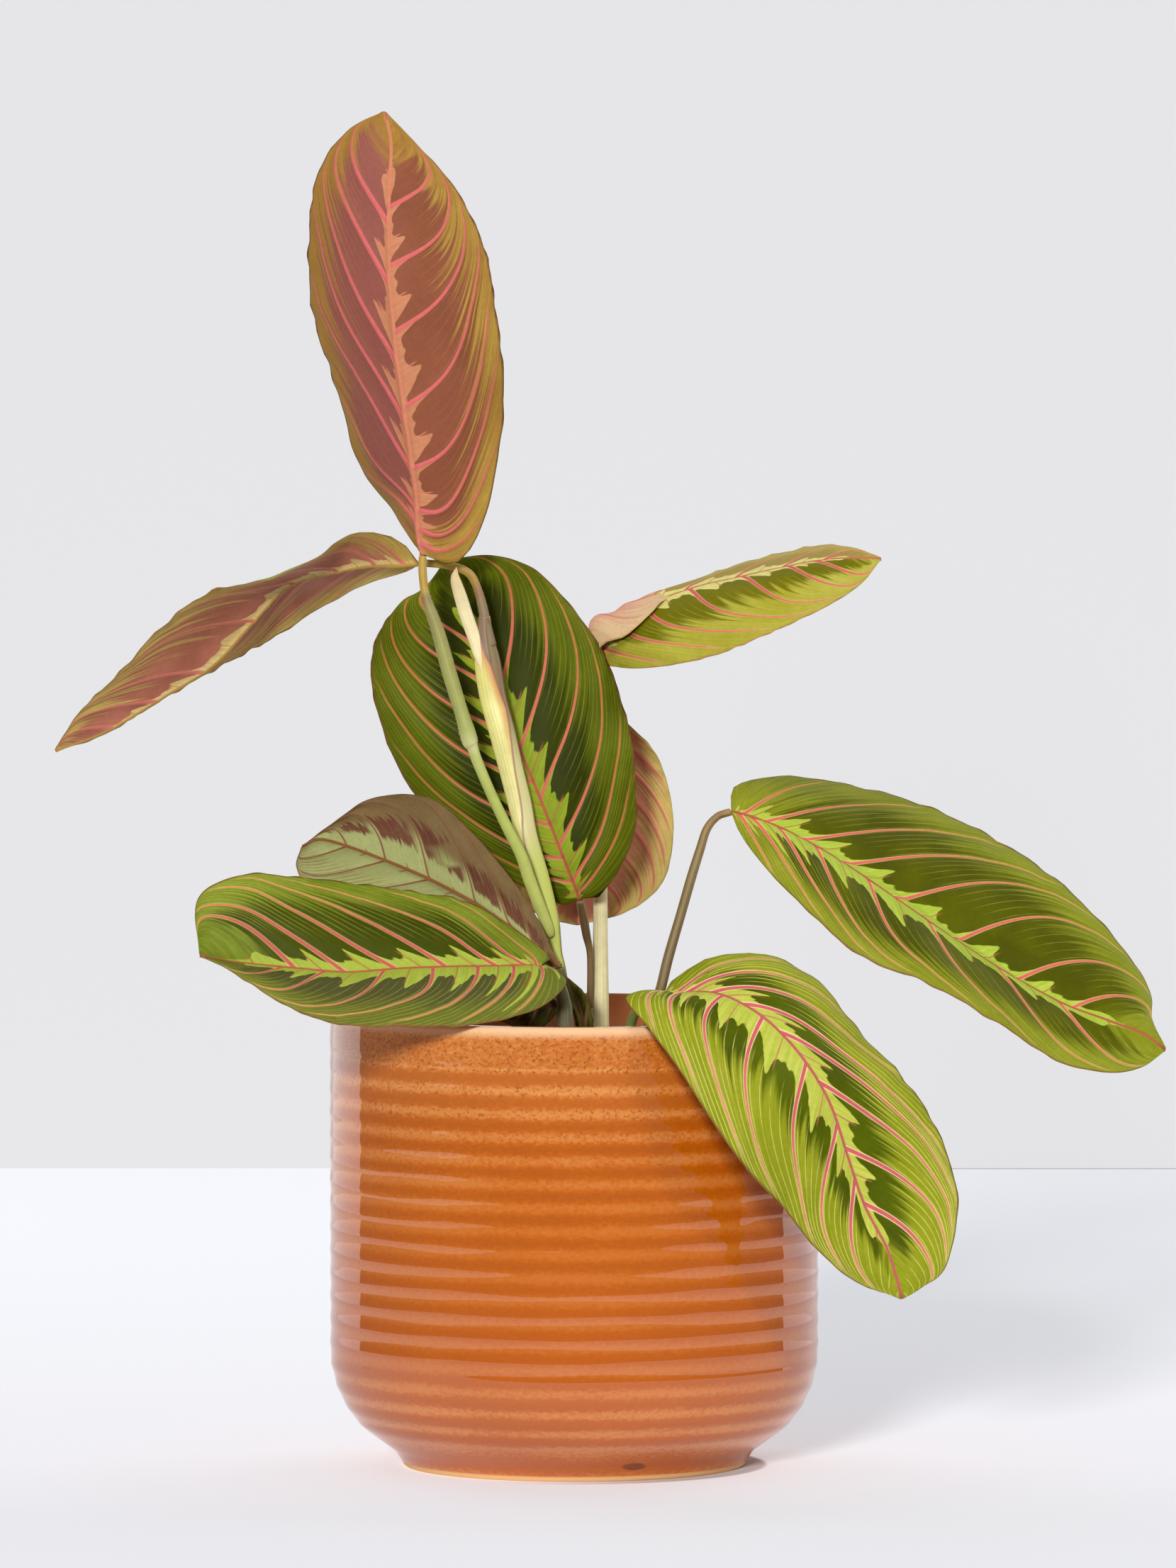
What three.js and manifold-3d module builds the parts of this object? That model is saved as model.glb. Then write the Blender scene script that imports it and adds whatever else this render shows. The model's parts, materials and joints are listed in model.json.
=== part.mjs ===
// A prayer plant in a ribbed pot: the pot, its soil, the leaf blades, and the shoots and petioles
// that carry them. Millimetres, +Z up, the origin at the centre of the pot's flat underside.
// Seen from the front, along +Y, +X is to the right.
import * as THREE from 'three';
import { mergeVertices } from 'three/addons/utils/BufferGeometryUtils.js';
import Module from 'manifold-3d';

const wasm = await Module();
wasm.setup();

// Driving dimensions
const POT_RADIUS = 70;
const POT_HEIGHT = 130.5;
const WALL = 5;
const FLOOR = 6;
const FOOT_RADIUS = 48.9;
const FOOT_HEIGHT = 6;
const BELLY_HEIGHT = 34;
const BELLY_INSET = 26.4;
const BELLY_DROP = 30;
const INSIDE_RADIUS = POT_RADIUS - WALL - 1;
const INSIDE_BELLY = [[44, FLOOR], [54, 12], [60, 21]];
const RING_PITCH = 6.55;
const RING_RELIEF = 0.8;
const TOP_RING = 116;
const RING_WALK = 0.05;
const POT_SIDES = 44;
const SOIL_TOP = 113;
const SOIL_MOUND = 2;
const SOIL_SHOULDER = 2;
const GAP = 0.3;
const BLADE_THICKNESS = 0.7;
const BLADE_STEPS = 18;
const HALF_BLADE_STEPS = 4;
const BASE_HALF_WIDTH = 0.9;
const TIP_HALF_WIDTH = 0.5;
const NORMAL_REACH = 0.01;
const STEM_SIDES = 8;
const STEM_STEPS_A_SPAN = 2;

// Leaf blades. Each row is [rib, left margin, right margin] at one station from the base to the
// tip, with left and right as seen from the leaf's upper face with its tip up. The base and the
// tip are one point each. A fourth point is the crest of a left half that curls over.
// arch is how far each half bulges to the upper face, as a share of its width.
// wave is the height of the margin's waves, and waves how many there are along the blade.
const leaves = {
  leaf_top: {
    color: 0x9a5f45, arch: [-0.1, -0.1], wave: 1.2, waves: 3.2,
    rows: [
      [[-43, -24, 262]],
      [[-44, -25, 268], [-34, -22, 259], [-47, -19, 267]],
      [[-44.5, -26, 277.5], [-26.5, -19, 269], [-53, -14, 276]],
      [[-46, -27, 288.5], [-21.5, -16, 290], [-61, -9, 286.5]],
      [[-48, -27, 302.5], [-20, -14, 310.5], [-67.5, -5, 308]],
      [[-51, -25, 324.5], [-22.5, -13, 332.5], [-74.5, -3, 330]],
      [[-52.5, -21, 344.5], [-25.5, -12, 348.5], [-75.5, -3, 352.5]],
      [[-52.5, -15, 365], [-33.5, -10, 365], [-71, -3, 370]],
      [[-52, -10, 378], [-44, -8, 377], [-61.5, -4, 382]],
      [[-54, -6, 387]],
    ],
  },
  leaf_high_left: {
    color: 0x94615a, arch: [0.05, 0.05], wave: 1.4, waves: 2.6,
    rows: [
      [[-44.5, -12, 259]],
      [[-50.5, -12, 258.5], [-50.5, -17, 266], [-48.5, -6, 256]],
      [[-59.5, -12, 258.5], [-62.5, -27, 268], [-59, 3, 252.5]],
      [[-71.5, -12, 256], [-74.5, -36, 260.5], [-73, 9, 245]],
      [[-82, -12, 252.5], [-87.5, -38, 255], [-84.5, 11, 237.5]],
      [[-92.5, -12, 241.5], [-102.5, -36, 252], [-94.5, 14, 232]],
      [[-103, -12, 230], [-116, -33, 242.5], [-105.5, 14, 226]],
      [[-117, -12, 221], [-129.5, -28, 228], [-119.5, 10, 218]],
      [[-133.5, -11, 211], [-140.5, -20, 217], [-135, 3, 209]],
      [[-148, -10, 205.5]],
    ],
  },
  leaf_centre: {
    color: 0x3f5c14, arch: [0.08, 0.08], wave: 1.2, waves: 3.4,
    rows: [
      [[1.5, -6, 162.5]],
      [[-0.5, -7, 168], [-5, -5, 161.5], [8.5, -5, 164.5]],
      [[-4, -8, 177], [-22, -3, 171], [17, -4, 180]],
      [[-9.5, -8, 191], [-46, -3, 193], [17.5, -2, 197.5]],
      [[-16.5, -6, 208], [-56.5, -2, 217], [15, 0, 214]],
      [[-23, -2, 225], [-57.5, 1, 234], [7, 3, 235]],
      [[-30, 4, 242], [-50.5, 5, 246], [-9, 8, 254.5]],
      [[-33.5, 8, 251], [-42.5, 8, 251.5], [-22.5, 11, 260]],
      [[-36.5, 11, 259]],
    ],
  },
  leaf_high_right: {
    color: 0x8f9a33, arch: [0.03, 0.1], wave: 0.9, waves: 2.8,
    rows: [
      [[5.5, 8.5, 229]],
      [[8, 8.5, 234], [8, 4.5, 237], [10, 6.5, 228.6], [4.5, 8, 241]],
      [[13, 7.5, 239.5], [15, 1, 240], [18, -5, 228.5], [12, 8, 244.5]],
      [[21.5, 5, 246], [24.5, 4, 247.5], [28.5, -14, 230], [20.5, 10, 248.5]],
      [[33.5, 4, 251], [34, 18, 252], [40.5, -17, 233], [33, 12, 252]],
      [[48, 2, 254.5], [47.5, 25, 257], [52.5, -19, 238], [48, 13, 256.5]],
      [[61, 0, 257.5], [62, 22, 261], [62, -18, 242], [61.5, 11, 259.5]],
      [[72, -2, 259.5], [72, 15, 263], [73.5, -14, 247.5], [72, 6, 261.5]],
      [[81, -4, 260], [80, 5, 262.5], [82, -8, 253]],
      [[87.5, -5, 260]],
    ],
  },
  leaf_back: {
    color: 0x9c6a58, arch: [0.08, 0.08], wave: 1.2, waves: 2.4,
    rows: [
      [[10.5, 20, 218.5]],
      [[10, 21, 213.5], [1, 24, 211.5], [17.5, 22, 211]],
      [[8.5, 22, 205.5], [-9, 28, 201], [23.5, 25, 202.5]],
      [[7, 22, 194], [-16.5, 30, 188.5], [27.5, 27, 191]],
      [[5.5, 22, 183], [-19.5, 30, 176.5], [28.5, 27, 178.5]],
      [[4, 21, 172], [-18, 28, 166.5], [25.5, 25, 165.5]],
      [[2, 20, 160.5], [-11, 23, 156.5], [16, 22, 157.5]],
      [[1, 18, 153.5]],
    ],
  },
  leaf_mid_left: {
    color: 0x7a7460, arch: [0.05, 0.05], wave: 0.8, waves: 2.2,
    rows: [
      [[-4, -24, 144.5]],
      [[-9, -24, 148.5], [-5.5, -23.5, 147.5], [-11, -22.5, 143.5]],
      [[-19, -21, 156], [-10, -21.5, 157.5], [-24, -22, 147.5]],
      [[-31, -18, 163.5], [-17.5, -14, 168.5], [-38, -21, 151]],
      [[-42.5, -17, 169.5], [-29.5, -12, 182.5], [-51, -20, 156]],
      [[-53, -17, 174], [-41.5, -12, 192], [-63.5, -20, 161]],
      [[-63.5, -17, 178], [-57.5, -14, 192], [-74.5, -20, 165.5]],
      [[-72.5, -18, 180.5], [-69.5, -17, 184.5], [-79, -20, 172.5]],
      [[-77.5, -19, 178.5]],
    ],
  },
  leaf_low_left: {
    color: 0x4f7a1c, arch: [0.08, 0.08], wave: 0.7, waves: 3.3,
    rows: [
      [[-9, -38, 145.5]],
      [[-13, -40, 146], [-2, -47, 142], [-7, -31, 148]],
      [[-22, -43, 146], [-10.5, -58, 135], [-14.5, -28, 153.5]],
      [[-36, -46, 146], [-29, -66, 131], [-30, -26, 163]],
      [[-50, -47, 145.5], [-46.5, -70, 131], [-45.5, -26, 166]],
      [[-64, -47, 144.5], [-65.5, -70, 131.5], [-62.5, -27, 168.5]],
      [[-78, -46, 145.5], [-79.5, -64, 135.5], [-79.5, -30, 170.5]],
      [[-90, -44, 146.5], [-92, -56, 142.5], [-93.5, -33, 171.5]],
      [[-99, -42, 147.5], [-99.5, -48, 146.5], [-106.5, -37, 165]],
      [[-106, -41, 149]],
    ],
  },
  leaf_right: {
    color: 0x55801e, arch: [0.06, 0.06], wave: 1.1, waves: 4.2,
    rows: [
      [[45, 6, 187]],
      [[51, 5, 185.5], [46.5, 14, 194], [48, 0, 180]],
      [[61, 3, 182], [61, 26, 196], [55.5, -14, 171]],
      [[75, 0, 175], [79.5, 32, 193], [65.5, -25, 161.5]],
      [[91, -3, 165], [100, 33, 187.5], [81.5, -31, 148]],
      [[107, -6, 153.5], [119.5, 31, 178.5], [101.5, -35, 140]],
      [[123.5, -9, 142.5], [138.5, 24, 166.5], [121.5, -34, 128.5]],
      [[139.5, -12, 133.5], [154.5, 14, 151], [137.5, -31, 118]],
      [[153.5, -15, 128], [164.5, 2, 136.5], [152, -25, 114.5]],
      [[162, -17, 125], [165, -10, 128.5], [161.5, -20, 115.5]],
      [[168.5, -18, 120.5]],
    ],
  },
  leaf_low_right: {
    color: 0x7da02c, arch: [0.08, 0.08], wave: 0.9, waves: 3.6,
    rows: [
      [[24.5, -46, 137.5]],
      [[29, -50, 138.5], [28.5, -44, 142.5], [14.5, -60, 138.5]],
      [[38.5, -57, 139.5], [40, -44, 149], [21.5, -73, 130]],
      [[47, -63, 137], [56, -45, 149], [30, -78, 118.5]],
      [[56, -67, 131], [70, -46, 141], [39, -79, 104.5]],
      [[65, -69, 121], [81, -48, 127.5], [49, -76, 90.5]],
      [[72, -68, 109], [93, -50, 115], [59, -70, 79.5]],
      [[77.5, -65, 92.5], [103, -51, 99.5], [67, -64, 69]],
      [[82, -62, 79.5], [108.5, -53, 80.5], [77, -60, 59.5]],
      [[88, -60, 68], [103, -56, 62], [87, -58, 56.5]],
      [[92, -58, 54.5]],
    ],
  },
  leaf_old: {
    color: 0x3c3c10, arch: [0.15, 0.15], wave: 0.3, waves: 1.2, steps: 8, halfSteps: 2,
    rows: [
      [[5, -19, 104]],
      [[4.5, -20, 113], [2.5, -21.5, 113.5], [7, -18.5, 113.5]],
      [[3.5, -21, 124.5], [1, -22, 124.5], [6, -19, 125]],
      [[1.5, -23, 132.5], [-0.5, -25, 132.5], [4.5, -21, 133]],
      [[0, -24.5, 137], [-2, -26.5, 137], [3, -23, 137]],
      [[-2, -26, 141.5]],
    ],
  },
  leaf_inside: {
    color: 0x6b6d12, arch: [0.12, 0.12], wave: 0.2, waves: 1.2, steps: 8, halfSteps: 2,
    rows: [
      [[-4.2, -23.4, 133.5]],
      [[-8.5, -24, 133], [-8, -25, 128], [-9, -21, 136.5]],
      [[-14.5, -26, 132], [-13.5, -27, 126.5], [-15, -22, 135.5]],
      [[-21.5, -28, 130]],
    ],
  },
};

// Shoots and petioles. Each row is [centre, half width seen from the front, half depth].
const stems = {
  shoot_sheath: {
    color: 0xd3cd83,
    rows: [
      [[-2, -14, 92], 1.8, 1.8],
      [[-2, -14, 126.5], 1.8, 1.8],
      [[-3.5, -14, 141.5], 1.5, 1.5],
      [[-5, -14, 148.5], 1.4, 1.4],
      [[-6, -14, 153], 1.5, 1.5],
      [[-6.5, -14, 157], 2.3, 1.8],
      [[-9.5, -14, 169], 2.5, 1.8],
      [[-13.5, -14, 181], 3.2, 1.8],
      [[-15.5, -13, 190.5], 3.5, 1.8],
      [[-18, -13, 200.5], 3.6, 1.9],
      [[-20.5, -13, 211], 3.9, 2],
      [[-23, -12, 220.5], 4, 2],
      [[-24.5, -12, 230.5], 4.1, 2],
      [[-25.5, -12, 234], 4.1, 2],
    ],
  },
  rolled_leaf: {
    color: 0xeadfae,
    rows: [
      [[-27.8, -12.2, 234], 1.7, 1.1],
      [[-28.7, -12.8, 237.5], 2, 1.2],
      [[-31, -13.4, 244.5], 2.1, 1.1],
      [[-32.5, -14.2, 249.5], 2, 1],
      [[-34, -14.9, 254.5], 1.7, 0.8],
      [[-34, -15, 257.5], 0.3, 0.3],
    ],
  },
  petiole_top: {
    color: 0x9fb061,
    rows: [
      [[-8, -18, 157], 1.7, 1.5],
      [[-12.5, -20, 168.5], 1.8, 1.6],
      [[-15, -21, 176], 1.7, 1.6],
      [[-19, -22, 184], 1.6, 1.6],
      [[-23.5, -23, 193.5], 1.5, 1.5],
      [[-27.5, -24, 203], 1.6, 1.6],
      [[-29.5, -24.5, 208.5], 2, 2],
      [[-30.5, -25, 211], 2.2, 2.2],
      [[-32, -25, 216.5], 2, 2],
      [[-35.5, -25, 228.5], 2.1, 2.1],
      [[-38.5, -25, 239.5], 1.9, 1.9],
      [[-41.5, -25, 248], 1.5, 1.5],
      [[-42.5, -24.5, 252], 1.2, 1.2],
      [[-43, -24.2, 257], 1.2, 1.2],
      [[-43, -24, 261.2], 1.1, 1.1],
    ],
  },
  petiole_high_left: {
    color: 0x9a9760,
    rows: [
      [[-23.6, -12, 235.2], 1.6, 1.6],
      [[-25, -12, 240.5], 1.6, 1.6],
      [[-26, -12, 246], 1.4, 1.4],
      [[-27.5, -12, 251.5], 1.2, 1.2],
      [[-29.5, -12, 255.5], 1.2, 1.2],
      [[-33, -12, 257.5], 1.2, 1.2],
      [[-38, -12, 258.5], 1.1, 1.1],
      [[-44, -12, 259], 1.1, 1.1],
    ],
  },
  petiole_centre: {
    color: 0x6e5a3a,
    rows: [
      [[4.4, 3.7, 131], 0.95, 0.95],
      [[4.6, 3.2, 137], 0.95, 0.95],
      [[4.5, 2.2, 146.5], 0.95, 0.95],
      [[3.5, 0, 152], 1.2, 1.2],
      [[2.5, -3, 158], 1.3, 1.3],
      [[1.7, -5.4, 161.8], 1.1, 1.1],
    ],
  },
  stem_thick: {
    color: 0xc9c27e,
    rows: [
      [[7.5, 6, 90.5], 2.6, 2.4],
      [[7.5, 6, 125], 2.5, 2.2],
      [[7.5, 6, 155.5], 2.1, 2],
      [[7.5, 7, 175.5], 2, 2],
      [[8, 8, 192], 2, 2],
    ],
  },
  petiole_high_right: {
    color: 0x9c9a55,
    rows: [
      [[8, 8, 192.4], 1.6, 1.6],
      [[8.5, 8, 204], 1.3, 1.3],
      [[7.5, 8, 216.5], 1.2, 1.2],
      [[6.5, 8.2, 223.5], 1.2, 1.2],
      [[5.4, 8.6, 227.6], 1.1, 1.1],
    ],
  },
  petiole_back: {
    color: 0x8f7a4f,
    rows: [
      [[9, 10.75, 187], 1.2, 1.2],
      [[9.6, 11.6, 193.5], 1.2, 1.2],
      [[12, 14, 206], 1.2, 1.2],
      [[13, 15, 219], 1.1, 1.1],
      [[12.5, 17, 222.5], 1.1, 1.1],
      [[11, 19.5, 222], 1, 1],
      [[10.5, 20, 219], 1, 1],
    ],
  },
  petiole_right: {
    color: 0x7b6f3f,
    rows: [
      [[16, 4, 90.5], 1.7, 1.7],
      [[21, 3, 124.5], 1.6, 1.6],
      [[24.5, 2, 135.5], 1.5, 1.5],
      [[27, 3, 145.5], 1.5, 1.5],
      [[30.5, 4, 157.5], 1.4, 1.4],
      [[33.5, 4.5, 168], 1.4, 1.4],
      [[36, 5, 176], 1.3, 1.3],
      [[38, 5.5, 182], 1.2, 1.2],
      [[41, 6, 185.5], 1.1, 1.1],
      [[44.5, 6, 186.8], 1.1, 1.1],
    ],
  },
  petiole_low_right: {
    color: 0x7b8a3f,
    rows: [
      [[15, -26, 93], 1.6, 1.6],
      [[15, -27, 117.5], 1.5, 1.5],
      [[16, -31, 128], 1.4, 1.4],
      [[19, -38, 135], 1.3, 1.3],
      [[24, -45.5, 137.3], 1.1, 1.1],
    ],
  },
  petiole_mid_left: {
    color: 0x3f3a1c,
    rows: [
      [[-2, -23, 93], 1.5, 1.5],
      [[-2, -23, 127], 1.5, 1.5],
      [[-2.2, -23, 137.5], 1.4, 1.4],
      [[-3.9, -23.9, 144], 1, 1],
    ],
  },
  petiole_low_left: {
    color: 0x6f6b4d,
    rows: [
      [[-1, -33, 94], 2.4, 2],
      [[-2.5, -33, 128], 2.4, 2],
      [[-3, -34, 135.5], 2, 1.8],
      [[-5, -36, 142.5], 1.4, 1.4],
      [[-8.5, -37.8, 145.3], 1, 1],
    ],
  },
};

// A closed geometry from rows of points and triangles that index them
function closedGeometry(points, triangles) {
  const geometry = new THREE.BufferGeometry();
  const numbers = points.flatMap((p) => p.toArray());
  geometry.setAttribute('position', new THREE.Float32BufferAttribute(numbers, 3));
  geometry.setIndex(triangles.flat());
  return geometry;
}

// The four corners of a quad as two triangles
function quad(a, b, c, d) {
  return [[a, b, c], [a, c, d]];
}

// A smooth curve through points, each a vector or a list of three numbers
function curveThrough(points) {
  const vectors = points.map((p) => new THREE.Vector3(...p));
  return new THREE.CatmullRomCurve3(vectors, false, 'catmullrom', 0.5);
}

// A turned body about the Z axis, from a profile of [radius, height] that begins and ends on it
function turned(profile) {
  const geometry = new THREE.LatheGeometry(profile.map(([r, z]) => new THREE.Vector2(r, z)), POT_SIDES);
  geometry.rotateX(Math.PI / 2);
  return geometry;
}

// The pot's outer radius at a height, without its rings: a straight wall over a round belly
function wallRadius(z) {
  if (z >= BELLY_HEIGHT) return POT_RADIUS;
  const drop = (BELLY_HEIGHT - z) / BELLY_DROP;
  return POT_RADIUS - BELLY_INSET * (1 - Math.sqrt(1 - drop * drop));
}

// Heights of the crests, which are evenly spaced along the wall's own line
function ringHeights() {
  const heights = [];
  let z = TOP_RING;
  while (z > FOOT_HEIGHT + 1) {
    heights.push(z);
    let walked = 0;
    while (walked < RING_PITCH) {
      walked += Math.hypot(RING_WALK, wallRadius(z) - wallRadius(z - RING_WALK));
      z -= RING_WALK;
    }
  }
  return heights;
}

// The whole pot: its foot, the wall's crests and grooves, the plain band and lip, and the inside
function potProfile() {
  const foot = [[0, 0], [FOOT_RADIUS, 0], [FOOT_RADIUS + 1.1, 2.1], [FOOT_RADIUS + 3, 4.8]];
  const crests = ringHeights().reverse();
  const wall = [];
  crests.forEach((z, index) => {
    wall.push([wallRadius(z), z]);
    const above = crests[index + 1];
    if (above === undefined) return;
    const groove = (z + above) / 2;
    wall.push([wallRadius(groove) - RING_RELIEF, groove]);
  });
  const lip = [
    [POT_RADIUS - RING_RELIEF, TOP_RING + RING_PITCH / 2],
    [POT_RADIUS - 0.2, POT_HEIGHT - 5],
    [POT_RADIUS - 0.5, POT_HEIGHT - 1.3],
    [POT_RADIUS - 1.8, POT_HEIGHT],
    [POT_RADIUS - WALL + 1.3, POT_HEIGHT],
    [POT_RADIUS - WALL, POT_HEIGHT - 1.3],
  ];
  return [...foot, ...wall, ...lip, ...cavityProfile(0).reverse()];
}

// The pot's inside from its floor up to its straight wall, drawn in by a gap
function cavityProfile(gap) {
  const belly = INSIDE_BELLY.map(([radius, height]) => [radius - gap, height + gap]);
  return [[0, FLOOR + gap], ...belly, [INSIDE_RADIUS - gap, BELLY_HEIGHT]];
}

// The soil: it fills the pot's inside and rises a little towards the middle
function soilProfile() {
  const radius = INSIDE_RADIUS - GAP;
  return [
    ...cavityProfile(GAP),
    [radius, SOIL_TOP - SOIL_SHOULDER],
    [radius - SOIL_SHOULDER, SOIL_TOP],
    [radius * 0.6, SOIL_TOP + SOIL_MOUND * 0.8],
    [0, SOIL_TOP + SOIL_MOUND],
  ];
}

// A stem: oval rings along a curve, each end closed by a cap. margin makes it that much fatter.
function stemGeometry(rows, margin = 0) {
  const path = curveThrough(rows.map((row) => row[0]));
  const halves = curveThrough(rows.map((row) => [row[1], row[2], 0]));
  const count = (rows.length - 1) * STEM_STEPS_A_SPAN;
  const points = [];
  const triangles = [];
  for (let i = 0; i <= count; i += 1) {
    const along = path.getTangent(i / count);
    const centre = path.getPoint(i / count);
    const half = halves.getPoint(i / count);
    const across = new THREE.Vector3(0, 1, 0).cross(along).normalize();
    const deep = along.clone().cross(across);
    if (i === 0) centre.addScaledVector(along, -margin);
    for (let k = 0; k < STEM_SIDES; k += 1) {
      const turn = (2 * Math.PI * k) / STEM_SIDES;
      points.push(centre.clone()
        .addScaledVector(across, (half.x + margin) * Math.cos(turn))
        .addScaledVector(deep, (half.y + margin) * Math.sin(turn)));
    }
  }
  for (let i = 0; i < count; i += 1) {
    for (let k = 0; k < STEM_SIDES; k += 1) {
      const next = (k + 1) % STEM_SIDES;
      const low = i * STEM_SIDES;
      const high = low + STEM_SIDES;
      triangles.push(...quad(low + k, low + next, high + next, high + k));
    }
  }
  for (let k = 1; k < STEM_SIDES - 1; k += 1) {
    const top = count * STEM_SIDES;
    triangles.push([0, k + 1, k], [top, top + k, top + k + 1]);
  }
  return closedGeometry(points, triangles);
}

// The lines of a blade: the rib, both margins and the crest between rib and margin on each side.
// The base and the tip get a short edge across, so that the blade has no needle-thin end.
function bladeLines(leaf) {
  const vectors = leaf.rows.map((row) => row.map((p) => new THREE.Vector3(...p)));
  const last = vectors.length - 1;
  const endEdge = (index, near, half, side) => {
    const across = near[side].clone().sub(near[3 - side]).normalize();
    return vectors[index][0].clone().addScaledVector(across, half);
  };
  const margin = (side) => vectors.map((row, index) => {
    if (index === 0) return endEdge(0, vectors[1], BASE_HALF_WIDTH, side);
    if (index === last) return endEdge(last, vectors[last - 1], TIP_HALF_WIDTH, side);
    return row[side];
  });
  const rib = vectors.map((row) => row[0]);
  const margins = [margin(1), margin(2)];
  const sides = margins.map((points, side) => {
    const crest = points.map((edge, index) => {
      if (side === 0 && vectors[index][3]) return vectors[index][3];
      const middle = rib[index].clone().add(edge).multiplyScalar(0.5);
      const before = rib[Math.max(index - 1, 0)];
      const after = rib[Math.min(index + 1, last)];
      const along = after.clone().sub(before);
      const across = margins[1][index].clone().sub(margins[0][index]);
      const up = across.cross(along).normalize();
      return middle.addScaledVector(up, leaf.arch[side] * rib[index].distanceTo(edge));
    });
    return { edge: curveThrough(points), crest: curveThrough(crest) };
  });
  return { rib: curveThrough(rib), sides };
}

// A point of the blade: along runs from base to tip, across from -1 on the left to 1 on the right
function bladePoint(leaf, lines, along, across) {
  const w = Math.abs(across);
  const side = across < 0 ? 0 : 1;
  const { edge, crest } = lines.sides[side];
  const point = lines.rib.getPoint(along).multiplyScalar((1 - w) * (1 - 2 * w));
  point.addScaledVector(crest.getPoint(along), 4 * w * (1 - w));
  point.addScaledVector(edge.getPoint(along), w * (2 * w - 1));
  const swell = Math.sin(Math.PI * along);
  point.y += leaf.wave * w * w * swell * Math.sin(2 * Math.PI * (leaf.waves * along + 0.3 * side));
  return point;
}

// A leaf blade: one sheet of even thickness, split into triangles alike on both faces
function bladeGeometry(leaf) {
  const lines = bladeLines(leaf);
  const steps = leaf.steps ?? BLADE_STEPS;
  const columns = 2 * (leaf.halfSteps ?? HALF_BLADE_STEPS);
  const size = (steps + 1) * (columns + 1);
  const upper = [];
  const lower = [];
  const clamp = THREE.MathUtils.clamp;
  const at = (along, across) => bladePoint(leaf, lines, clamp(along, 0, 1), clamp(across, -1, 1));
  for (let i = 0; i <= steps; i += 1) {
    for (let j = 0; j <= columns; j += 1) {
      const along = i / steps;
      const across = (2 * j) / columns - 1;
      const forward = at(along + NORMAL_REACH, across).sub(at(along - NORMAL_REACH, across));
      const sideways = at(along, across + NORMAL_REACH).sub(at(along, across - NORMAL_REACH));
      const up = sideways.cross(forward).normalize();
      const middle = at(along, across);
      upper.push(middle.clone().addScaledVector(up, BLADE_THICKNESS / 2));
      lower.push(middle.clone().addScaledVector(up, -BLADE_THICKNESS / 2));
    }
  }
  const triangles = [];
  for (let i = 0; i < steps; i += 1) {
    for (let j = 0; j < columns; j += 1) {
      const a = i * (columns + 1) + j;
      const b = a + columns + 1;
      triangles.push([a, a + 1, b + 1], [a, b + 1, b]);
      triangles.push([size + a, size + b + 1, size + a + 1], [size + a, size + b, size + b + 1]);
    }
  }
  const edge = [];
  for (let j = 0; j < columns; j += 1) edge.push(j);
  for (let i = 0; i < steps; i += 1) edge.push(i * (columns + 1) + columns);
  for (let j = columns; j > 0; j -= 1) edge.push(steps * (columns + 1) + j);
  for (let i = steps; i > 0; i -= 1) edge.push(i * (columns + 1));
  edge.forEach((from, index) => {
    const to = edge[(index + 1) % edge.length];
    triangles.push(...quad(from, size + from, size + to, to));
  });
  return closedGeometry([...upper, ...lower], triangles);
}

function toManifold(geometry) {
  const bare = geometry.clone();
  bare.deleteAttribute('normal');
  bare.deleteAttribute('uv');
  const merged = mergeVertices(bare, 1e-4);
  const { array } = merged.getAttribute('position');
  const mesh = new wasm.Mesh({
    numProp: 3,
    vertProperties: new Float32Array(array),
    triVerts: new Uint32Array(merged.getIndex().array),
  });
  return new wasm.Manifold(mesh);
}

function fromManifold(solid) {
  const mesh = solid.getMesh();
  const geometry = new THREE.BufferGeometry();
  geometry.setAttribute('position', new THREE.BufferAttribute(mesh.vertProperties, 3));
  geometry.setIndex(new THREE.BufferAttribute(mesh.triVerts, 1));
  return geometry;
}

// The soil, with a plain hole for each stem that stands in it
function soilGeometry() {
  let soil = toManifold(turned(soilProfile()));
  const rooted = Object.values(stems)
    .map((stem) => stem.rows)
    .filter((rows) => rows[0][0][2] < SOIL_TOP);
  const slot = [[leaves.leaf_old.rows[0][0], 2.5, 2.5], [[4.5, -20, SOIL_TOP + 8], 4, 3]];
  [...rooted, slot].forEach((rows) => {
    soil = soil.subtract(toManifold(stemGeometry(rows, GAP)));
  });
  return fromManifold(soil);
}

// A named piece with a material of its own
function piece(name, geometry, color, roughness) {
  const bare = geometry.clone();
  bare.computeVertexNormals();
  const mesh = new THREE.Mesh(bare, new THREE.MeshStandardMaterial({ color, roughness, metalness: 0 }));
  mesh.name = name;
  return mesh;
}

const plant = new THREE.Group();
plant.add(piece('pot', turned(potProfile()), 0xb85c14, 0.2));
plant.add(piece('soil', soilGeometry(), 0x2e1f14, 0.95));
Object.entries(stems).forEach(([name, stem]) => {
  plant.add(piece(name, stemGeometry(stem.rows), stem.color, 0.5));
});
Object.entries(leaves).forEach(([name, leaf]) => {
  plant.add(piece(name, bladeGeometry(leaf), leaf.color, 0.5));
});

export default plant;
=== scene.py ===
# %% [markdown]
# A prayer plant in a ribbed, amber glazed pot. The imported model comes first. It is the fixed frame:
# every piece made here sits where its node says, in metres, with +Z up and the front towards -Y.

# %% Load the frame and keep its box
import itertools
import json
import math

import bpy
import numpy as np
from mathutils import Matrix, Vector, noise

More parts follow.
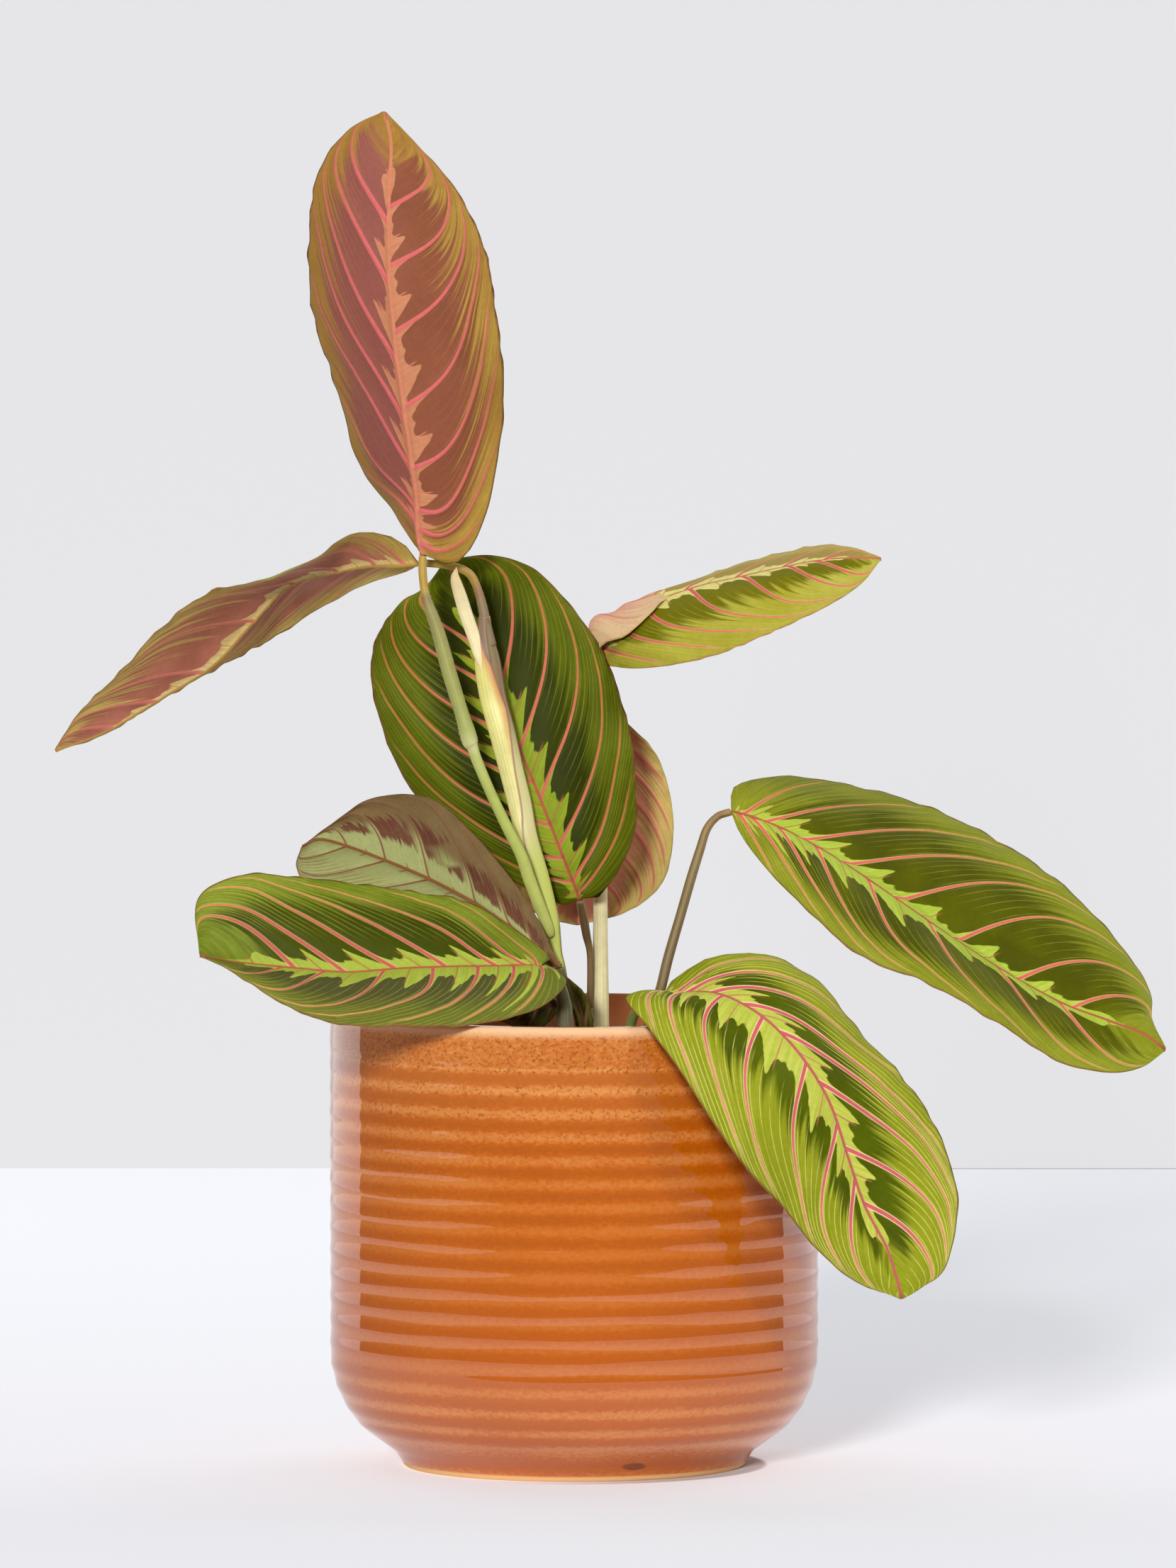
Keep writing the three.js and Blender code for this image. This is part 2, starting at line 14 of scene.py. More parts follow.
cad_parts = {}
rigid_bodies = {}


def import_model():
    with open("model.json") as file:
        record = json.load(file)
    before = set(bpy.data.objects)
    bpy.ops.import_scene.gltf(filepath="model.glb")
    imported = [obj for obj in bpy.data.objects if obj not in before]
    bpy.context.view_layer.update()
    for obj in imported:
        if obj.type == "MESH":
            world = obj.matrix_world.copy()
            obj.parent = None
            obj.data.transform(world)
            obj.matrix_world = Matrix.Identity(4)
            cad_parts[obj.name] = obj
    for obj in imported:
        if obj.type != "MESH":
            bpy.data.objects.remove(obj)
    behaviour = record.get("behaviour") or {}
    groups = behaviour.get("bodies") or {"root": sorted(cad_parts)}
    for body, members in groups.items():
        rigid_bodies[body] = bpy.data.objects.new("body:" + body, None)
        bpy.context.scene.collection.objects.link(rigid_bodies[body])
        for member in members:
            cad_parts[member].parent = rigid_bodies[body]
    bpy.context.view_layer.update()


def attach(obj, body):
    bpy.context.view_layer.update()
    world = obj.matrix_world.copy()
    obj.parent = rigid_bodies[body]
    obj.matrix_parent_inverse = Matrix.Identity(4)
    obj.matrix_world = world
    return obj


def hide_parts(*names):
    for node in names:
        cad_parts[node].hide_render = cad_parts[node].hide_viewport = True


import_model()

MM = 0.001
BODY = "root"

# %% [markdown]
# The photographer stood far back, so the view is nearly flat. The camera keeps that distance and a
# long lens, and looks a little down: the pot's rim shows as a thin ellipse. The lens follows from
# the height of the view and the distance, as on a real camera.

# %% Camera
AIM = Vector((3.95, 0, 195.2)) * MM
CAMERA_PLACE = Vector((3.95, -4000, 425)) * MM
VIEW_HEIGHT = 448.2 * MM
SENSOR = 36

camera_data = bpy.data.cameras.new("camera")
camera_data.sensor_width = SENSOR
camera_data.lens = SENSOR * (AIM - CAMERA_PLACE).length / VIEW_HEIGHT
camera = bpy.data.objects.new("camera", camera_data)
camera.location = CAMERA_PLACE
camera.rotation_euler = (AIM - CAMERA_PLACE).to_track_quat("-Z", "Y").to_euler()
bpy.context.scene.collection.objects.link(camera)
bpy.context.scene.camera = camera
bpy.context.scene.view_settings.view_transform = "Standard"
print("lens", round(camera_data.lens, 1), "mm")

# %% [markdown]
# A product photo like this one is lit by large soft boxes far off: one low and one high at the left
# of the camera, one high at the right. The room is otherwise dark, which is why the glaze and the
# leaves look so deep: there is little else to mirror. A sun lamp with a wide disc gives the even
# light of such a box. around and up are its direction in degrees, to the right of the camera and
# above the table, disc is how wide it looks, and share its strength. The photo's table shows one
# soft shadow only, so a lamp of its own lights it and no other does. The pot has two lamps of its
# own as well. Its glaze shows no small bright spots, so these three don't show in reflections.

# %% Lights
LIGHTS = {
    "left_low": {"around": -10, "up": 13, "disc": 8, "share": 0.62},
    "left_high": {"around": -30, "up": 50, "disc": 24, "share": 0.32},
    "right_high": {"around": 58, "up": 34, "disc": 12, "share": 0.32},
    "table_light": {"around": -12, "up": 12, "disc": 10, "share": 1.6},
    "pot_left": {"around": -8, "up": 24, "disc": 12, "share": 0.85},
    "pot_right": {"around": 50, "up": 34, "disc": 10, "share": 0.19},
}
table_only = bpy.data.collections.new("table_only")
pot_only = bpy.data.collections.new("pot_only")
plant_only = bpy.data.collections.new("plant_only")
LIT_BY = {"table_light": table_only, "pot_left": pot_only, "pot_right": pot_only}

for name, setting in LIGHTS.items():
    light = bpy.data.lights.new(name, "SUN")
    light.angle = math.radians(setting["disc"])
    light.energy = setting["share"] * math.pi
    around = math.radians(setting["around"])
    up = math.radians(setting["up"])
    towards = Vector((math.cos(up) * math.sin(around), -math.cos(up) * math.cos(around), math.sin(up)))
    lamp = bpy.data.objects.new(name, light)
    lamp.location = towards
    lamp.rotation_euler = (-towards).to_track_quat("-Z", "Y").to_euler()
    lamp.light_linking.receiver_collection = LIT_BY.get(name, plant_only)
    lamp.visible_glossy = name not in LIT_BY
    bpy.context.scene.collection.objects.link(lamp)
print("lights", sorted(LIGHTS))

# %% [markdown]
# Colours are written as the red, green and blue of a paint chart, from 0 to 255. The shaders work
# with linear light, so each is converted once. The world is a plain pale sky that fills the shadows.

# %% Paint and world
WORLD_STRENGTH = 0.2


def paint(red, green, blue):
    """A linear colour from the three numbers of a paint chart"""
    def linear(value):
        share = value / 255
        return share / 12.92 if share <= 0.04045 else ((share + 0.055) / 1.055) ** 2.4
    return (linear(red), linear(green), linear(blue), 1.0)


world = bpy.data.worlds.new("sky")
world.use_nodes = True
sky = world.node_tree.nodes["Background"]
sky.inputs["Color"].default_value = paint(250, 250, 255)
sky.inputs["Strength"].default_value = WORLD_STRENGTH
bpy.context.scene.world = world
print("world strength", WORLD_STRENGTH)

# %% [markdown]
# Every finish below is a small tree of shader nodes, and short helpers keep those trees readable.
# The first ones place a node and fill its sockets, do a sum, and mix colours or fade a mask.

# %% Node helpers
def put(tree, kind, sockets=None, **settings):
    """A shader node of that kind; each socket gets a value, or the output of another node"""
    made = tree.nodes.new("ShaderNode" + kind)
    for name, value in settings.items():
        setattr(made, name, value)
    for name, value in (sockets or {}).items():
        if isinstance(value, bpy.types.NodeSocket):
            tree.links.new(value, made.inputs[name])
        else:
            made.inputs[name].default_value = value
    return made


def calc(tree, operation, *values, clamp=False):
    """The result of one sum or function on values or sockets"""
    return put(tree, "Math", dict(enumerate(values)), operation=operation, use_clamp=clamp).outputs[0]


def times(tree, first, second):
    """The product of two values or sockets"""
    return calc(tree, "MULTIPLY", first, second)


def scaled(tree, value, factor, more, clamp=False):
    """The value times a factor, with more added"""
    return calc(tree, "MULTIPLY_ADD", value, factor, more, clamp=clamp)


def wavy(tree, value, noise_value, amount):
    """The value, moved up or down by noise that spans the amount"""
    return calc(tree, "ADD", value, scaled(tree, noise_value, amount, -amount / 2))


def fade(tree, value, low, high):
    """A smooth mask that is 0 where value is low and 1 where it is high"""
    sockets = {"Value": value, "From Min": low, "From Max": high}
    return put(tree, "MapRange", sockets, interpolation_type="SMOOTHSTEP").outputs["Result"]


def mix(tree, share, first, second, how="MIX"):
    """The first colour where share is 0 and the second where it is 1"""
    return put(tree, "Mix", {0: share, 6: first, 7: second}, data_type="RGBA", blend_type=how).outputs[2]


def greyed(tree, colour, level):
    """The colour times one level for all its channels"""
    grey = put(tree, "CombineColor", {"Red": level, "Green": level, "Blue": level}).outputs["Color"]
    return mix(tree, 1.0, colour, grey, how="MULTIPLY")


def link(tree, sockets, found):
    """Each named socket takes the output found for it"""
    for label, output in found.items():
        tree.links.new(output, sockets[label])


print("node helpers ready")

# %% [markdown]
# The other helpers make what several finishes share: places, noise, curves, fine relief, and whole
# groups and materials.

# %% Texture and material helpers
def object_place(tree):
    """Where a point lies on its object, in metres"""
    return put(tree, "TexCoord").outputs["Object"]


def place_from(tree, x, y, z=0.0):
    """A place made of two or three values or sockets"""
    return put(tree, "CombineXYZ", {"X": x, "Y": y, "Z": z}).outputs["Vector"]


def map_parts(tree, label):
    """The two numbers that a UV map holds"""
    found = put(tree, "UVMap", uv_map=label).outputs["UV"]
    split = put(tree, "SeparateXYZ", {"Vector": found}).outputs
    return split["X"], split["Y"]


def clouds(tree, place, scale, detail=2.0):
    """Noise from 0 to 1 at a place"""
    return put(tree, "TexNoise", {"Vector": place, "Scale": scale, "Detail": detail}).outputs["Fac"]


def curve(tree, value, points, handles="AUTO"):
    """The value's height on a curve through the points"""
    made = put(tree, "FloatCurve", {"Value": value})
    line = made.mapping.curves[0]
    while len(line.points) < len(points):
        line.points.new(0.5, 0.5)
    for point, place in zip(line.points, points):
        point.location = place
        point.handle_type = handles
    made.mapping.update()
    return made.outputs["Value"]


def add_bump(tree, shader, height, distance, strength):
    """Relief too fine for the mesh; distance is in metres"""
    bump = put(tree, "Bump", {"Height": height, "Distance": distance, "Strength": strength})
    link(tree, shader, {"Normal": bump.outputs["Normal"]})


def new_group(name, inputs, outputs):
    """An empty node group with named sockets: the group, its inputs and its outputs"""
    group = bpy.data.node_groups.new(name, "ShaderNodeTree")
    for way, labels in (("INPUT", inputs), ("OUTPUT", outputs)):
        for label in labels:
            group.interface.new_socket(label, in_out=way, socket_type="NodeSocketFloat")
    return group, group.nodes.new("NodeGroupInput").outputs, group.nodes.new("NodeGroupOutput").inputs


def placed(tree, group, names=None):
    """The outputs of a node group, placed in a material with its own values"""
    return put(tree, "Group", names, node_tree=group).outputs


def new_material(name, **constants):
    """A material with a Principled shader: the material, its tree and the shader's inputs"""
    material = bpy.data.materials.new(name)
    material.use_nodes = True
    shader = material.node_tree.nodes["Principled BSDF"].inputs
    for label, value in constants.items():
        shader[label.replace("_", " ")].default_value = value
    return material, material.node_tree, shader


print("texture helpers ready")

# %% [markdown]
# The pot stands on a small pale table before a wide pale wall. They aren't part of the plant, so
# they are marked as stage. Most of their light is their own, which keeps them even, and the rest
# shows the shadows. The table's short front shows in the pot: the belly and the lower side of each
# ridge mirror the table, and everything above them mirrors the dark room. Outside the picture the
# wall is brighter, as the pot's sides show. Close to the foot at the right the table's glow is
# darkened by a painted contact shadow. The wall can be seen through from behind, so the plant's
# back can be looked at too.

# %% Table and wall
WALL_PLACE = 1.0
WALL_LEFT = -1.75
WALL_RIGHT = 2.1
WALL_HEIGHT = 2.2
WALL_FOOT = -0.5
TABLE_FRONT = -0.285
TABLE_HALF = 0.5
TABLE_PAINT = paint(238, 239, 243)
WALL_PAINT = paint(229, 229, 231)
TABLE_GLOW = 0.415
WALL_GLOW = 0.88
SIDE_GLOW = 1.7
SIDE_PLACE = 0.34
CONTACT_REACH = 0.006
CONTACT_SAMPLES = 8


def brightened(colour, factor):
    """The colour times a factor, still opaque"""
    return [channel * factor for channel in colour[:3]] + [1]


def card(name, corners, colour, glow, lit):
    """A flat piece of the stage that glows: the piece, its tree and its shader's inputs"""
    mesh = bpy.data.meshes.new(name)
    mesh.from_pydata(corners, [], [(0, 1, 2, 3)])
    material, tree, shader = new_material(
        name, Roughness=0.9, Specular_IOR_Level=0.0, Base_Color=brightened(colour, lit),
        Emission_Color=colour, Emission_Strength=glow)
    mesh.materials.append(material)
    made = bpy.data.objects.new(name, mesh)
    bpy.context.scene.collection.objects.link(made)
    return made, tree, shader


def to_right(tree):
    """How far to the right a point lies, in metres"""
    return put(tree, "SeparateXYZ", {"Vector": object_place(tree)}).outputs["X"]


def leave_out(collection, made):
    """Lamps of that collection don't light the object"""
    collection.objects.link(made)
    collection.collection_objects[len(collection.objects) - 1].light_linking.link_state = "EXCLUDE"


wall, tree, shader = card(
    "stage_wall", [(WALL_LEFT, WALL_PLACE, WALL_FOOT), (WALL_RIGHT, WALL_PLACE, WALL_FOOT),
                   (WALL_RIGHT, WALL_PLACE, WALL_HEIGHT), (WALL_LEFT, WALL_PLACE, WALL_HEIGHT)],
    WALL_PAINT, WALL_GLOW, 0.1)
outside = fade(tree, calc(tree, "ABSOLUTE", to_right(tree)), SIDE_PLACE, SIDE_PLACE * 1.5)
link(tree, shader, {
    "Emission Color": mix(tree, outside, WALL_PAINT, brightened(WALL_PAINT, SIDE_GLOW)),
    "Alpha": calc(tree, "SUBTRACT", 1.0, put(tree, "NewGeometry").outputs["Backfacing"])})

table, tree, shader = card(
    "stage_table", [(-TABLE_HALF, TABLE_FRONT, 0), (TABLE_HALF, TABLE_FRONT, 0),
                    (TABLE_HALF, WALL_PLACE, 0), (-TABLE_HALF, WALL_PLACE, 0)],
    TABLE_PAINT, TABLE_GLOW, 0.8)
# Painted contact shadow: the table's glow turns black where the pot's foot closes it in, on the right side
# only
open_air = put(tree, "AmbientOcclusion", {"Distance": CONTACT_REACH}, samples=CONTACT_SAMPLES).outputs["AO"]
painted_contact_shadow = times(tree, fade(tree, open_air, 0.98, 0.72), fade(tree, to_right(tree), -0.03, 0.035))
link(tree, shader, {"Emission Color": mix(tree, painted_contact_shadow, TABLE_PAINT, (0, 0, 0, 1))})
table_only.objects.link(table)
leave_out(plant_only, table)
print("stage ready")

# %% [markdown]
# All the pieces are meshes written point by point, because leaves and thrown clay follow formulas
# better than they follow primitives. One helper turns points and faces into an object, gives each
# face corner its places in named UV maps, and hands the piece to the frame.

# %% Mesh helpers
def spline(points, shares):
    """Points on a smooth curve through the given points, at shares of it from 0 to 1"""
    known = np.asarray(points, float)
    known = np.vstack([2 * known[0] - known[1], known, 2 * known[-1] - known[-2]])
    spans = len(known) - 3
    reach = np.clip(np.asarray(shares, float), 0, 1) * spans
    first = np.minimum(reach.astype(int), spans - 1)
    part = (reach - first)[..., None]
    a, b, c, d = (known[first + step] for step in range(4))
    return 0.5 * (2 * b + (c - a) * part + (2 * a - 5 * b + 4 * c - d) * part**2
                  + (3 * b - a - 3 * c + d) * part**3)


def unit(vectors):
    """The vectors at length 1"""
    return vectors / np.maximum(np.linalg.norm(vectors, axis=-1, keepdims=True), 1e-12)


def piece(name, points, faces, maps, materials, picks=None, smooth=True):
    """A mesh object from points in millimetres; maps holds a UV for each face corner"""
    mesh = bpy.data.meshes.new(name)
    mesh.from_pydata((np.asarray(points) * MM).tolist(), [], faces)
    for label, corners in maps.items():
        layer = mesh.uv_layers.new(name=label)
        layer.data.foreach_set("uv", np.asarray(corners, np.float32).ravel())
    for material in materials:
        mesh.materials.append(material)
    if picks is not None:
        mesh.polygons.foreach_set("material_index", np.asarray(picks, np.int32))
    if smooth:
        mesh.shade_smooth()
    made = bpy.data.objects.new(name, mesh)
    bpy.context.scene.collection.objects.link(made)
    return made


def stand_for(made, node):
    """The piece takes the place of a node of the frame and rides where it did"""
    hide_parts(node)
    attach(made, BODY)
    triangles = sum(len(face.vertices) - 2 for face in made.data.polygons)
    print(made.name, "replaces", node, "with", triangles, "triangles")


def ring_faces(rings, sides):
    """Quads between neighbouring closed rings of points"""
    low = np.arange(rings - 1)[:, None] * sides
    here = np.arange(sides)[None, :]
    after = (here + 1) % sides
    return np.stack([low + here, low + after, low + sides + after, low + sides + here], -1).reshape(-1, 4)


print("mesh helpers ready")

# %% [markdown]
# The pot is one thrown piece of stoneware. Its wall is a straight cylinder over a round belly, with
# soft throwing ridges all the way up and a plain band under the lip. A profile turned about the
# axis gives it, and small slow waves keep the ridges from looking machined.

# %% Pot sizes
POT_RADIUS = 70
POT_HEIGHT = 130.5
WALL = 5
FLOOR = 6
FOOT_RADIUS = 48.9
FOOT_HEIGHT = 6
BELLY_HEIGHT = 34
BELLY_INSET = 26.4
BELLY_DROP = 30
INSIDE_RADIUS = POT_RADIUS - WALL - 1
INSIDE_BELLY = [(44, FLOOR), (54, 12), (60, 21)]
RING_PITCH = 6.55
RING_RELIEF = 0.175
LOW_RELIEF = 0.24
LOW_HEIGHT = (52, 62)
CREST_LEAD = 0.39
TOP_RING = 119.1
RING_WALK = 0.05


def wall_radius(height):
    """The pot's outer radius without its ridges"""
    drop = np.clip((BELLY_HEIGHT - np.asarray(height, float)) / BELLY_DROP, 0, 1)
    return POT_RADIUS - BELLY_INSET * (1 - np.sqrt(1 - drop * drop))


def ring_heights():
    """Heights of the crests from the foot up, evenly spaced along the wall's own line"""
    heights = []
    height = TOP_RING
    while height > FOOT_HEIGHT + 1:
        heights.append(height)
        walked = 0
        while walked < RING_PITCH:
            walked += math.hypot(RING_WALK, float(wall_radius(height) - wall_radius(height - RING_WALK)))
            height -= RING_WALK
    return heights[::-1]


crests = ring_heights()
print(len(crests), "ridges from", round(crests[0], 1), "to", crests[-1], "mm")

# %% [markdown]
# The wall is sampled twelve times between crests. Each sample keeps how thin the glaze has run, 0
# where it pools dark and 1 where it breaks to tan. It ran down while it melted, so it is thinnest
# a little below each crest.

# %% Pot profile
SAMPLES_A_RIDGE = 12
CREST_SHARPNESS = 1.25
LIP_SAMPLES = 71
INSIDE_SAMPLES = 24


def swell(share):
    """0 halfway between two crests and 1 on a crest; share runs from one crest to the next"""
    return 0.5 + 0.5 * math.cos(2 * math.pi * share)


def pot_profile():
    """Rows of radius, height, relief and zone: 0 bare clay, 1 glaze outside, 2 glaze inside"""
    rows = [(0, 0, 0.5, 0), (FOOT_RADIUS - 3, 0, 0.5, 0), (FOOT_RADIUS - 0.5, 0, 0.5, 0),
            (FOOT_RADIUS, 0.4, 0.5, 0), (FOOT_RADIUS + 0.5, 1.2, 0.6, 0.5),
            (FOOT_RADIUS + 1.1, 2.1, 0.7, 1), (FOOT_RADIUS + 1.9, 3.4, 0.3, 1),
            (FOOT_RADIUS + 3, 4.8, 0.1, 1)]
    for low, high in zip(crests[:-1], crests[1:]):
        for step in range(SAMPLES_A_RIDGE):
            share = step / SAMPLES_A_RIDGE
            height = low + (high - low) * share
            depth = float(np.interp(height, LOW_HEIGHT, (LOW_RELIEF, RING_RELIEF)))
            groove = depth * (1 - swell(share - CREST_LEAD) ** CREST_SHARPNESS)
            rows.append((float(wall_radius(height)) - groove, height, swell(share), 1))
    last_groove = RING_RELIEF * (1 - swell(CREST_LEAD) ** CREST_SHARPNESS)
    lip = [(POT_RADIUS - last_groove, TOP_RING), (POT_RADIUS, TOP_RING + RING_PITCH * CREST_LEAD),
           (POT_RADIUS - 0.2, POT_HEIGHT - 5), (POT_RADIUS - 0.5, POT_HEIGHT - 1.3),
           (POT_RADIUS - 1.8, POT_HEIGHT), (POT_RADIUS - WALL + 1.3, POT_HEIGHT),
           (POT_RADIUS - WALL, POT_HEIGHT - 1.3), (INSIDE_RADIUS, POT_HEIGHT - 12)]
    for radius, height in spline(lip, np.linspace(0, 1, LIP_SAMPLES)):
        on_lip = np.clip((height - POT_HEIGHT + 5) / 5, 0, 1)
        rows.append((min(radius, POT_RADIUS), min(height, POT_HEIGHT), 0.6 + 0.4 * on_lip,
                     1 if radius > POT_RADIUS - WALL / 2 else 2))
    heights = np.linspace(POT_HEIGHT - 14, BELLY_HEIGHT, INSIDE_SAMPLES)
    inside = [(INSIDE_RADIUS, height) for height in heights]
    inside += INSIDE_BELLY[::-1] + [(20, FLOOR), (0, FLOOR)]
    return np.array(rows + [(radius, height, 0.3, 2) for radius, height in inside])


profile = pot_profile()
print("profile of", len(profile), "points")

# %% [markdown]
# Turning the profile gives rings of points. The first and last lie on the axis, so each becomes one
# point with a fan of triangles. The UV map named throwing holds the way round and the relief, and
# the one named zone the kind of surface.

# %% Turn the pot
POT_SIDES = 320
WOBBLE = 0.03
UNEVEN = 0.2
WOBBLE_WAVES = [(1, 3, 0.7, 0), (1, 5, -1.3, 1), (0.6, 9, 2.1, 2)]
UNEVEN_WAVES = [(0.5, 2, 1.9, 0), (0.5, 3, -0.8, 0)]


def waves(around, height, rows):
    """Waves round the pot; a row is their size, how many go round, how they climb and their start"""
    return sum(size * np.sin(turns * around + height * climb + start) for size, turns, climb, start in rows)


def turn_pot(material):
    """The pot's mesh: the profile turned about the axis, made a little uneven"""
    around = np.linspace(0, 2 * math.pi, POT_SIDES, endpoint=False)
    radius, height, relief, zone = (column[:, None] for column in profile[1:-1].T)
    outside = (zone == 1) & (height > FOOT_HEIGHT) & (height < POT_HEIGHT - 8)
    wobble = 1 + waves(around, height, WOBBLE_WAVES) / sum(row[0] for row in WOBBLE_WAVES)
    radius = radius - np.where(outside, WOBBLE * wobble, 0)
    uneven = (1 - relief) * waves(around, height, UNEVEN_WAVES)
    radius = radius - np.where(outside, RING_RELIEF * UNEVEN * uneven, 0)
    rings = np.stack([radius * np.cos(around), radius * np.sin(around),
                      height + np.zeros_like(radius)], -1)
    count = len(rings)
    points = np.vstack([rings.reshape(-1, 3), [0, 0, profile[0][1]], [0, 0, profile[-1][1]]])
    quads = ring_faces(count, POT_SIDES)
    here = np.arange(POT_SIDES)
    after = (here + 1) % POT_SIDES
    top = (count - 1) * POT_SIDES
    bottom_fan = np.stack([np.full(POT_SIDES, len(points) - 2), after, here], -1)
    top_fan = np.stack([np.full(POT_SIDES, len(points) - 1), top + here, top + after], -1)
    faces = quads.tolist() + bottom_fan.tolist() + top_fan.tolist()
    ring = np.concatenate([np.repeat(np.arange(1, count + 1), POT_SIDES), [0, count + 1]])
    turn = np.concatenate([np.tile(here / POT_SIDES, count), [0, 0]])
    corners = np.concatenate([quads.ravel(), bottom_fan.ravel(), top_fan.ravel()])
    turns = turn[corners]
    wrapped = np.zeros(len(corners), bool)
    wrapped[:quads.size] = np.repeat(quads[:, 0] % POT_SIDES == POT_SIDES - 1, 4)
    turns = np.where(wrapped & (turns < 0.5), 1.0, turns)
    maps = {
        "throwing": np.stack([turns, profile[ring[corners], 2]], -1),
        "zone": np.stack([profile[ring[corners], 3] / 2, profile[ring[corners], 1] / POT_HEIGHT], -1),
    }
    return piece("pot_ribbed", points, faces, maps, [material])


print("pot of", POT_SIDES, "sides")

# %% [markdown]
# The glaze is a clear amber glass over pale clay. Real glaze breaks to tan on the crests, with brown
# specks, and pools to red brown in the grooves and inside. A coat gives the wet shine, and the bare
# foot stays cream and dull.

# %% Glaze
GLAZE = {
    "groove": paint(174, 84, 4), "body": paint(192, 96, 5), "crest": paint(228, 152, 82),
    "low": paint(176, 84, 12),
    "speck": paint(130, 60, 10), "lip": paint(250, 204, 156), "inside": paint(190, 114, 70),
    "clay": paint(232, 184, 128), "spot": paint(104, 44, 8),
}
SPOT_PLACE = (17 * MM, -49 * MM, 4.4 * MM)
SPOT_REACH = 3.6 * MM


def glaze_material():
    """A clear coat over a colour that follows how thin the glaze has run"""
    material, tree, shader = new_material(
        "amber_glaze", Coat_Roughness=0.025, Coat_IOR=1.72, Specular_IOR_Level=0.0)
    relief = map_parts(tree, "throwing")[1]
    kind, up = map_parts(tree, "zone")
    place = object_place(tree)
    flat_place = put(tree, "Mapping", {"Vector": place, "Scale": (1, 1, 1.6)}).outputs["Vector"]
    thin = wavy(tree, relief, clouds(tree, place, 30.0, 3.0), 0.9)
    thin = wavy(tree, thin, clouds(tree, flat_place, 700.0, 3.0), 1.3)
    colour = mix(tree, fade(tree, thin, -0.3, 0.7), GLAZE["groove"], GLAZE["body"])
    colour = mix(tree, times(tree, fade(tree, up, 0.62, 0.3), 0.6), colour, GLAZE["low"])
    tan = calc(tree, "ADD", scaled(tree, fade(tree, up, 0.5, 0.98), 0.6, 0.2),
               times(tree, fade(tree, up, 0.26, 0.16), 0.3))
    crest = times(tree, fade(tree, thin, 0.3, 1.25), tan)
    crest = scaled(tree, fade(tree, up, 0.74, 0.9), 0.16, crest, clamp=True)
    colour = mix(tree, crest, colour, GLAZE["crest"])
    dots = fade(tree, clouds(tree, place, 1150.0, 1.0), 0.57, 0.66)
    dots = times(tree, times(tree, dots, fade(tree, relief, 0.0, 0.8)), fade(tree, up, 0.55, 0.95))
    colour = mix(tree, times(tree, dots, 0.6), colour, GLAZE["speck"])
    spot_place = put(tree, "Mapping", {
        "Vector": place, "Location": [-part for part in SPOT_PLACE]}).outputs["Vector"]
    spot_place = put(tree, "Mapping", {"Vector": spot_place, "Scale": (1, 0.4, 3)}).outputs["Vector"]
    from_spot = put(tree, "VectorMath", {0: spot_place}, operation="LENGTH").outputs["Value"]
    spot = fade(tree, from_spot, SPOT_REACH * 1.15, SPOT_REACH * 0.7)
    colour = mix(tree, times(tree, spot, 0.8), colour, GLAZE["spot"])
    colour = mix(tree, times(tree, fade(tree, up, 0.97, 0.995), 0.9), colour, GLAZE["lip"])
    colour = mix(tree, fade(tree, kind, 0.6, 0.9), colour, GLAZE["inside"])
    colour = mix(tree, fade(tree, kind, 0.45, 0.2), colour, GLAZE["clay"])
    glassy = fade(tree, kind, 0.2, 0.45)
    link(tree, shader, {"Base Color": colour, "Roughness": scaled(tree, glassy, -0.35, 0.75),
                        "Coat Weight": glassy})
    add_bump(tree, shader, clouds(tree, place, 130.0, 1.0), 0.00008, 0.2)
    return material


pot = turn_pot(glaze_material())
pot_only.objects.link(pot)
leave_out(plant_only, pot)
stand_for(pot, "pot")

# %% [markdown]
# Potting soil is dark, loose and lumpy. A turned body with a rough top stands for it, and a few
# hundred crumbs of bark are pressed into the top. It surrounds the stems, as soil does.

# %% Soil
SOIL_TOP = 113
SOIL_MOUND = 2
SOIL_GAP = 0.3
SOIL_RINGS = 70
SOIL_SIDES = 180
CRUMBS = 420
CRUMB_SIZES = (0.7, 2.1)
SOIL_SEED = 11


def soil_height(x, y):
    """The rough top of the soil at a place, in millimetres"""
    middle = 1 - np.hypot(x, y) / INSIDE_RADIUS
    lump = noise.noise(Vector((x * 0.16, y * 0.16, 3))) * 1.1
    grain = noise.noise(Vector((x * 0.7, y * 0.7, 9))) * 0.6
    return SOIL_TOP + SOIL_MOUND * 0.9 * min(1, 2 * middle) - 0.9 + lump + grain


def soil_body():
    """Rings from the axis out over the top, down the side and back to the axis below"""
    edge = INSIDE_RADIUS - SOIL_GAP
    radii = edge * np.sqrt(np.linspace(0.004, 1, SOIL_RINGS))
    around = np.linspace(0, 2 * math.pi, SOIL_SIDES, endpoint=False)
    rings = [[(r * math.cos(a), r * math.sin(a), soil_height(r * math.cos(a), r * math.sin(a)))
              for a in around] for r in radii]
    below = [(edge, BELLY_HEIGHT)] + [(r - SOIL_GAP, h + SOIL_GAP) for r, h in reversed(INSIDE_BELLY)]
    rings += [[(r * math.cos(a), r * math.sin(a), h) for a in around] for r, h in below]
    points = np.array(rings).reshape(-1, 3)
    faces = ring_faces(len(rings), SOIL_SIDES)[:, ::-1].tolist()
    last = (len(rings) - 1) * SOIL_SIDES
    faces.append(list(range(SOIL_SIDES)))
    faces.append([last + side for side in reversed(range(SOIL_SIDES))])
    return points, faces


def ball_corners():
    """The twelve corners of a ball of twenty equal triangles, each edge two long"""
    gold = (1 + 5**0.5) / 2
    ball = np.array([(s, t * gold, 0) for s in (-1, 1) for t in (-1, 1)])
    return np.vstack([ball, ball[:, [2, 0, 1]], ball[:, [1, 2, 0]]])


